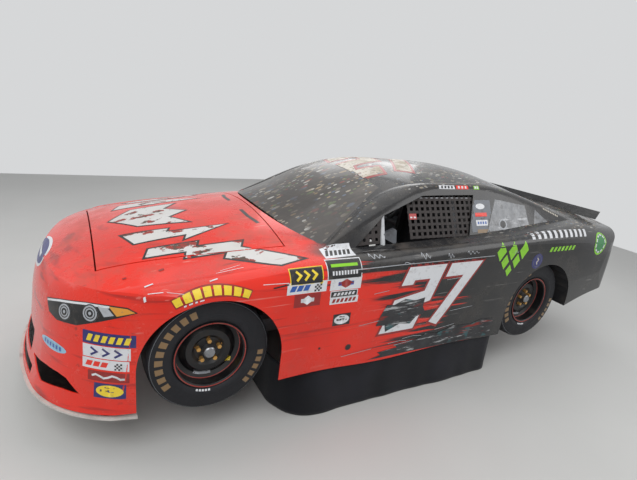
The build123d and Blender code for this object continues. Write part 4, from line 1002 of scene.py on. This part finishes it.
# Scuffs on the left front fender: material, width, and the two ends of each
FENDER_MARKS = (
    ("white", 0.0030, (1.486, 0.851, 1.037), (1.329, 0.846, 1.058)),
    ("white", 0.0025, (1.459, 0.838, 1.044), (1.340, 0.820, 1.064)),
    ("white", 0.0080, (1.535, 0.910, 1.021), (1.491, 0.903, 1.029)),
    ("white", 0.0100, (1.853, 0.855, 0.995), (1.809, 0.838, 1.002)),
    ("white", 0.0110, (1.860, 0.906, 0.967), (1.857, 0.913, 0.942)),
    ("white", 0.0045, (1.844, 0.903, 0.978), (1.771, 0.914, 0.984)),
    ("white", 0.0025, (1.755, 0.918, 0.984), (1.674, 0.942, 0.976)),
    ("white", 0.0030, (1.252, 0.967, 0.997), (1.097, 0.973, 0.995)),
    ("white", 0.0060, (1.676, 0.958, 0.913), (1.664, 0.959, 0.917)),
    ("white", 0.0060, (1.652, 0.960, 0.920), (1.634, 0.962, 0.926)),
    ("white", 0.0060, (1.622, 0.963, 0.930), (1.610, 0.964, 0.933)),
    ("white", 0.0050, (1.598, 0.966, 0.937), (1.575, 0.968, 0.944)),
    ("ink", 0.0060, (1.192, 0.977, 0.974), (1.097, 0.974, 0.985)),
    ("deep_red", 0.0130, (1.765, 0.742, 1.033), (1.738, 0.734, 1.037)),
    ("deep_red", 0.0110, (1.944, 0.744, 1.002), (1.925, 0.740, 1.005)),
)


def rubbed_side():
    """The worn patches and scratches along the left side and on the fender over its wheel."""
    slope = Board(None, (1.5, FLANK_Y, 1.1), (0, -0.6, -0.8), "front_paint")
    for k, (colour, width, *ends) in enumerate(FENDER_MARKS):
        slope.lay(f"fender_mark{k}", stroke(slope.flat(ends), width), colour, 4)
    board = Board(None, (0, FLANK_Y, 1.0), INWARD, "side_paint")
    for k, places in enumerate(RUBBED):
        board.lay(f"rubbed{k}", [board.side_on(places)], "scraped", 3)
    for k, places in enumerate(SCRATCHES):
        board.lay(f"scratch{k}", stroke(board.side_on(places), 0.0035), "silver_grey", 4)


def rod(name, points, radius, material, body):
    """A round bar through these places, closed at both ends."""
    verts, faces, turns = [], [], 16
    for k, here in enumerate(points):
        before, after = points[max(k - 1, 0)], points[min(k + 1, len(points) - 1)]
        along = (Vector(after) - Vector(before)).normalized()
        side = along.orthogonal().normalized() if k == 0 else (side - along * side.dot(along)).normalized()
        up = along.cross(side)
        for turn in range(turns):
            angle = 2 * pi * turn / turns
            verts.append(Vector(here) + (side * cos(angle) + up * sin(angle)) * radius)
    for k in range(len(points) - 1):
        for turn in range(turns):
            a, b = k * turns + turn, k * turns + (turn + 1) % turns
            faces.append((a, b, b + turns, a + turns))
    faces.append(tuple(range(turns - 1, -1, -1)))
    faces.append(tuple(len(verts) - turns + turn for turn in range(turns)))
    piece = make_piece(name, verts, faces, material, body, smooth=True)
    piece.data.set_sharp_from_angle(angle=radians(40))
    return piece


# The driver's net: lower front corner, how far it leans in, size, the gaps and webs along and up it
NET_CORNER, NET_LEAN, NET_LENGTH, NET_HEIGHT = Vector((0.086, 0.7856, 1.148)), radians(25.3), 0.696, 0.296
NET_GAPS_X, NET_GAPS_Z, NET_WEB_X, NET_WEB_Z = 13, 6, 0.030, 0.024
TAPE_X, TAPE_Z, TAPE_THICK, TAPE_SWING = 0.0235, 0.0195, 0.0012, 0.0009
NET_ROD_Y, NET_ROD_R = -0.005, 0.007
# Where the tapes' middle lies across the net, and how far below its top they turn to go over the rod
TAPE_MIDDLE, SLEEVE_DROP = 0.0015, 0.008
# How a tape goes over the rod: places across and up the net
SLEEVE = ((0.0030, 0.297), (0.0010, 0.3035), (-0.0050, 0.3058), (-0.0110, 0.3030), (-0.0140, 0.297),
          (-0.0110, 0.288), (-0.0030, 0.282))
# The tag on the net and its two pale marks: name, material, extent along, up and across the net
NET_TAG = (("net_tag", "tag", (-0.012, -0.078), (0.140, 0.182), (0.0034, 0.0046)),
           ("net_tag_mark0", "white", (-0.020, -0.038), (0.150, 0.160), (0.0044, 0.0052)),
           ("net_tag_mark1", "white", (-0.052, -0.070), (0.150, 0.160), (0.0044, 0.0052)))


def on_net(a, b, c):
    """A place of the net's own frame, along, across and up it, in row metres."""
    cosine, sine = cos(NET_LEAN), sin(NET_LEAN)
    return NET_CORNER + Vector((a, b * cosine - c * sine, b * sine + c * cosine))


def tape(verts, faces, middle, across, thick):
    """Adds one flat closed tape along its middle line; across is half its width, thick half its thickness."""
    first = len(verts)
    for here, out in middle:
        verts += [here + across + out * thick, here - across + out * thick, here - across - out * thick,
                  here + across - out * thick]
    last = len(middle) - 1
    for k in range(last):
        a = first + 4 * k
        faces += [(a + e, a + (e + 1) % 4, a + 4 + (e + 1) % 4, a + 4 + e) for e in range(4)]
    faces.append((first + 3, first + 2, first + 1, first))
    faces.append(tuple(first + 4 * last + e for e in range(4)))


def window_net():
    """The driver's net as woven tapes sewn over a rod, the sheet in front of it, and the release tag."""
    verts, faces = [], []
    pitch_x = (NET_LENGTH - NET_WEB_X) / NET_GAPS_X
    pitch_z = (NET_HEIGHT - NET_WEB_Z) / NET_GAPS_Z
    out = Vector((0, cos(NET_LEAN), sin(NET_LEAN)))
    along, up = Vector((1, 0, 0)), Vector((0, -sin(NET_LEAN), cos(NET_LEAN)))
    for i in range(NET_GAPS_X + 1):
        x = -i * pitch_x - NET_WEB_X / 2
        middle = []
        for step in range(6 * NET_GAPS_Z + 3):
            z = step * (NET_HEIGHT - SLEEVE_DROP) / (6 * NET_GAPS_Z + 2)
            swing = cos(pi * ((z - NET_WEB_Z / 2) / pitch_z + i))
            middle.append((on_net(x, TAPE_MIDDLE + TAPE_SWING * swing, z), out))
        places = [(TAPE_MIDDLE, NET_HEIGHT - SLEEVE_DROP), *SLEEVE]
        for k in range(1, len(places) - 1):
            turn = Vector(places[k + 1]) - Vector(places[k - 1])
            normal = (out * turn.y - up * turn.x).normalized()
            middle.append((on_net(x, *places[k]), normal))
        tape(verts, faces, middle, along * (TAPE_X / 2), TAPE_THICK / 2)
    for j in range(NET_GAPS_Z + 1):
        z = j * pitch_z + NET_WEB_Z / 2
        middle = []
        for step in range(6 * NET_GAPS_X + 1):
            x = -NET_LENGTH * step / (6 * NET_GAPS_X)
            swing = -cos(pi * ((-x - NET_WEB_X / 2) / pitch_x + j))
            middle.append((on_net(x, TAPE_MIDDLE + TAPE_SWING * swing, z), out))
        tape(verts, faces, middle, up * (TAPE_Z / 2), TAPE_THICK / 2)
    net = make_piece("driver_net", verts, faces, "webbing", "chassis")
    face_outward(net)
    ends = [on_net(a, NET_ROD_Y, NET_HEIGHT) for a in (0.040, -NET_LENGTH - 0.010)]
    rod("net_rod", ends, NET_ROD_R, "steel", "chassis")

    old = nodes["window_net"].data
    fore = [v.index for v in old.vertices if v.co.x > NET_CORNER.x + 0.1]
    place = {index: k for k, index in enumerate(fore)}
    whole = [face.vertices for face in old.polygons if all(v in place for v in face.vertices)]
    kept = [[place[v] for v in corners] for corners in whole]
    verts = [old.vertices[index].co for index in fore]
    sheet = make_piece("front_net", verts, kept, "webbing", "chassis")
    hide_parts("window_net")
    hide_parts("window_net")
    sides = [(0, 1, 2, 3), (7, 6, 5, 4), (0, 4, 5, 1), (1, 5, 6, 2), (2, 6, 7, 3), (3, 7, 4, 0)]
    for name, material, (a, far), (low, high), thick in NET_TAG:
        flat = ((a, low), (far, low), (far, high), (a, high))
        corners = [on_net(along, b, up) for b in thick for along, up in flat]
        face_outward(make_piece(name, corners, sides, material, "chassis"))


# The dark sheets round the rear wheels: centre, least and greatest radius, radius of the hole, inner wall
TUB_X, TUB_Z, TUB_LEAST, TUB_MOST, TUB_HOLE, TUB_WALL = -1.291, 0.528, 0.404, 0.520, 0.300, 0.600
# Thickness, gap to the skin, first and last angle in degrees, and number of steps
TUB_THICK, TUB_GAP, TUB_START, TUB_END, TUB_STEPS = 0.004, 0.002, 0, 186, 48


def wheel_tubs():
    """The sheet that closes the body round each rear wheel: an L-shaped band that ends inside the skin."""
    for side, s in SIDES.items():
        skin = nodes[f"quarter_{side}"]
        verts, faces = [], []
        for k in range(TUB_STEPS + 1):
            angle = radians(TUB_START + (TUB_END - TUB_START) * k / TUB_STEPS)
            struck, reach = False, TUB_LEAST
            while not struck and reach < TUB_MOST:
                reach += TUB_THICK
                start = Vector((TUB_X + reach * cos(angle), s * TUB_WALL, TUB_Z + reach * sin(angle)))
                struck, place, _, _ = skin.ray_cast(start, Vector((0, s, 0)))
            rim = abs(place.y) - TUB_GAP
            wall = TUB_WALL + TUB_THICK
            for y, radius in ((rim, reach), (wall, reach), (wall, TUB_HOLE), (TUB_WALL, TUB_HOLE),
                              (TUB_WALL, reach + TUB_THICK), (rim, reach + TUB_THICK)):
                verts.append((TUB_X + radius * cos(angle), s * y, TUB_Z + radius * sin(angle)))
        for k in range(TUB_STEPS):
            for turn in range(6):
                a, b = 6 * k + turn, 6 * k + (turn + 1) % 6
                faces.append((a, b, b + 6, a + 6))
        faces += [(5, 4, 1, 0), (4, 3, 2, 1)]
        last = 6 * TUB_STEPS
        faces += [(last, last + 1, last + 4, last + 5), (last + 1, last + 2, last + 3, last + 4)]
        face_outward(make_piece(f"wheel_tub_{side}", verts, faces, "dash", "chassis"))


def window_posts():
    """The pale tube behind each front net, and the small mirror that it carries."""
    for side, s in SIDES.items():
        post = [(0.352, s * 0.838, 1.010), (0.346, s * 0.826, 1.100), (0.306, s * 0.690, 1.345)]
        rod(f"window_post_{side}", post, 0.0165, "post", "chassis")
        edge = ((0.000, 0.000), (0.010, 0.030), (-0.085, 0.062), (-0.100, 0.050), (-0.096, -0.030),
                (-0.080, -0.038))
        verts = [Vector((0.322 + a, s * (y - 0.28 * b), 1.168 + b)) for y in (0.800, 0.772) for a, b in edge]
        size = len(edge)
        faces = [tuple(range(size)), tuple(range(2 * size - 1, size - 1, -1))]
        faces += [(k, size + k, size + (k + 1) % size, (k + 1) % size) for k in range(size)]
        face_outward(make_piece(f"side_mirror_{side}", verts, faces, "mirror", "chassis"))


def wheel_details():
    """Worn gold marks and a thin ring of painted highlight on the tyre walls, rings and pale arcs on the rims,
    nuts and hub caps in their own metal.
    """
    for w in WHEELS:
        centre, body = WHEEL_CENTRE[w], f"wheel_{w}"
        s = 1 if centre.y > 0 else -1
        front, look = (centre.x, centre.y + s * 0.15, centre.z), (0, -s, 0)
        wall = Board(w, front, look, "tyre", surface(f"tyre_{w}"), body=body)
        marks = []
        for start, count, step, radius, tall in WALL_MARKS:
            marks += dashes(radius, tall, [start + (k - 0.32) * step for k in range(count)], 0.64 * step)
        wall.lay("wall_marks", marks, "sidewall")
        # A thin grey ring near the wall's outer edge: a painted highlight on the tyre's shoulder
        wall.lay("wall_line", ring(0.333, 0.002, steps=96), "grey", pitch=WHEEL_PITCH)
        wall.lay("wall_dashes", dashes(0.2245, 0.009, [-111 + 4.6 * k for k in range(5)], 3.2, 1), "white")
        metal_parts(w, centre, s)
        rim = Board(w, front, look, "wheel_paint", surface(f"wheel_{w}"), body=body)
        # Pale arcs low on the rim
        pale_arcs = ring(0.163, 0.018, -118, -82) + ring(0.145, 0.006, -100, -92)
        rim.lay("rim_scuffs", pale_arcs, "silver_grey", pitch=WHEEL_PITCH)
        stripes = ring(0.2030, 0.006, steps=96) + ring(0.190, 0.004, steps=96)
        rim.lay("rim_rings", stripes, "pinstripe", pitch=WHEEL_PITCH)
        if w == "fl":
            rim.tag = None
            sticker = slab(0.034, 0.024, 0.006, (0.1245, -0.0973))
            rim.lay("wheel_sticker", [sticker], "yellow", pitch=PITCH / 2)


# The cloth skirt: its outline from above, its top, and how it waves
SKIRT_X, SKIRT_Y, SKIRT_TOP, SKIRT_HEM = (-0.897, 1.048), 0.955, 0.351, 0.003
SKIRT_TURNS, SKIRT_STEP, SKIRT_ROWS = (0.27, 0.12), 0.02, 16
# The cloth's thickness and what the hem adds on each face, and how far the cloth bells out at the floor
SKIRT_THICK, SKIRT_FOLD, SKIRT_BELL = 0.0016, 0.0012, 0.006
SKIRT_WAVES = ((7, 0.0045, 0.4), (13, 0.0035, 2.1), (29, 0.0018, 0.9), (47, 0.0008, 3.0))


def skirt_route():
    """Places and outward directions along the skirt's outline, evenly spaced."""
    corners = []
    for x, turn, s in ((SKIRT_X[1], SKIRT_TURNS[0], 1), (SKIRT_X[0], SKIRT_TURNS[1], -1)):
        corners += [(Vector((x - s * turn, side * (SKIRT_Y - turn))), turn) for side in (-s, s)]
    route = []
    for k, (centre, turn) in enumerate(corners):
        for step in range(13):
            angle = k * pi / 2 - pi / 2 + step * pi / 24
            out = Vector((cos(angle), sin(angle)))
            route.append((centre + out * turn, out))
    places = []
    for (a, out_a), (b, out_b) in zip(route, route[1:] + route[:1]):
        count = max(1, round((b - a).length / SKIRT_STEP))
        places += [(a.lerp(b, k / count), out_a.lerp(out_b, k / count).normalized()) for k in range(count)]
    return places


def skirt():
    """The black cloth round the stands: one hemmed sheet in soft waves that turns in behind the wheels."""
    route = skirt_route()
    count = len(route)
    verts, faces = [], []
    for layer in (0, 1):
        for row in range(SKIRT_ROWS + 1):
            t = row / SKIRT_ROWS
            z = SKIRT_TOP + (SKIRT_HEM - SKIRT_TOP) * t
            for k, (place, out) in enumerate(route):
                turn = 2 * pi * k / count
                wave = sum(size * sin(turns * turn + shift) for turns, size, shift in SKIRT_WAVES)
                hem = SKIRT_FOLD if row >= SKIRT_ROWS - 1 else 0.0
                lift = (wave + SKIRT_BELL) * t ** 0.8 + (hem if layer == 0 else -SKIRT_THICK - hem)
                verts.append((place.x + out.x * lift, place.y + out.y * lift, z))
    size = (SKIRT_ROWS + 1) * count
    for row in range(SKIRT_ROWS):
        for k in range(count):
            a, b = row * count + k, row * count + (k + 1) % count
            faces.append((b, a, a + count, b + count))
            faces.append((size + a, size + b, size + b + count, size + a + count))
    for k in range(count):
        a, b = k, (k + 1) % count
        faces.append((a, b, size + b, size + a))
        low = SKIRT_ROWS * count
        faces.append((low + b, low + a, size + low + a, size + low + b))
    cloth = make_piece("skirt_drape", verts, faces, "drape", "chassis", smooth=True)
    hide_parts("skirt_cloth")


# Lamps: name, place, width and power
LAMPS = (("key", (3.2, 3.6, 4.4), 3.4, 105), ("fill", (-3.6, 3.4, 3.6), 3.2, 62),
         ("front", (5.0, -1.6, 3.0), 3.0, 50), ("back", (-2.4, -4.2, 3.8), 3.4, 60),
         ("over", (0.0, 0.0, 5.0), 4.6, 70))
# The sky's colour, and its strength on the object and where it is seen
SKY_COLOUR, SKY_LIGHT, SKY_SEEN = (0.84, 0.85, 0.86, 1), 0.42, 0.80


def stage():
    """Floor, lights, sky and camera."""
    size, thickness = 14.0, 0.02
    bpy.ops.mesh.primitive_cube_add(size=1, location=(0, 0, -thickness / 2 - 0.0005))
    floor = bpy.context.object
    floor.name = "floor"
    floor.scale = (size, size, thickness)
    g = Graph("pale_floor")
    shade = g.mix(g.ease(g.noise(6.0, 4.0), 0.3, 0.7), tone(206, 206, 204), tone(214, 214, 212))
    floor.data.materials.append(g.finish(Base_Color=shade, Roughness=0.55))
    for name, place, width, power in LAMPS:
        data = bpy.data.lights.new(name, "AREA")
        data.shape, data.size, data.energy = "SQUARE", width, power
        lamp = bpy.data.objects.new(name, data)
        bpy.context.scene.collection.objects.link(lamp)
        lamp.location = place
        lamp.rotation_euler = (Vector((0, 0, 0.6)) - lamp.location).to_track_quat("-Z", "Y").to_euler()
    world = bpy.data.worlds.new("studio")
    bpy.context.scene.world = world
    world.use_nodes = True
    tree = world.node_tree
    background = tree.nodes["Background"]
    background.inputs["Color"].default_value = SKY_COLOUR
    path = tree.nodes.new("ShaderNodeLightPath")
    seen = path.outputs["Is Camera Ray"]
    for ray in ("Is Glossy Ray", "Is Transmission Ray"):
        either = tree.nodes.new("ShaderNodeMath")
        either.operation = "MAXIMUM"
        tree.links.new(seen, either.inputs[0])
        tree.links.new(path.outputs[ray], either.inputs[1])
        seen = either.outputs[0]
    strength = tree.nodes.new("ShaderNodeMapRange")
    strength.inputs["To Min"].default_value = SKY_LIGHT
    strength.inputs["To Max"].default_value = SKY_SEEN
    tree.links.new(seen, strength.inputs["Value"])
    tree.links.new(strength.outputs[0], background.inputs["Strength"])

    flat = cos(CAMERA_PITCH)
    forward = Vector((flat * cos(CAMERA_YAW), flat * sin(CAMERA_YAW), sin(CAMERA_PITCH)))
    level = forward.cross(Vector((0, 0, 1))).normalized()
    below = forward.cross(level)
    right = cos(CAMERA_ROLL) * level + sin(CAMERA_ROLL) * below
    down = -sin(CAMERA_ROLL) * level + cos(CAMERA_ROLL) * below
    data = bpy.data.cameras.new("camera")
    data.lens, data.sensor_width = CAMERA_LENS, CAMERA_SENSOR
    camera = bpy.data.objects.new("camera", data)
    bpy.context.scene.collection.objects.link(camera)
    axes = Matrix((right, -down, -forward)).transposed()
    camera.matrix_world = Matrix.Translation(CAMERA_PLACE) @ axes.to_4x4()
    bpy.context.scene.camera = camera
    bpy.context.scene.view_settings.view_transform = "Standard"


smooth_panels()
flank_graphics()
nose_graphics()
hood_graphics()
roof_graphics()
small_marks()
rubbed_side()
window_net()
window_posts()
wheel_tubs()
wheel_details()
skirt()
stage()
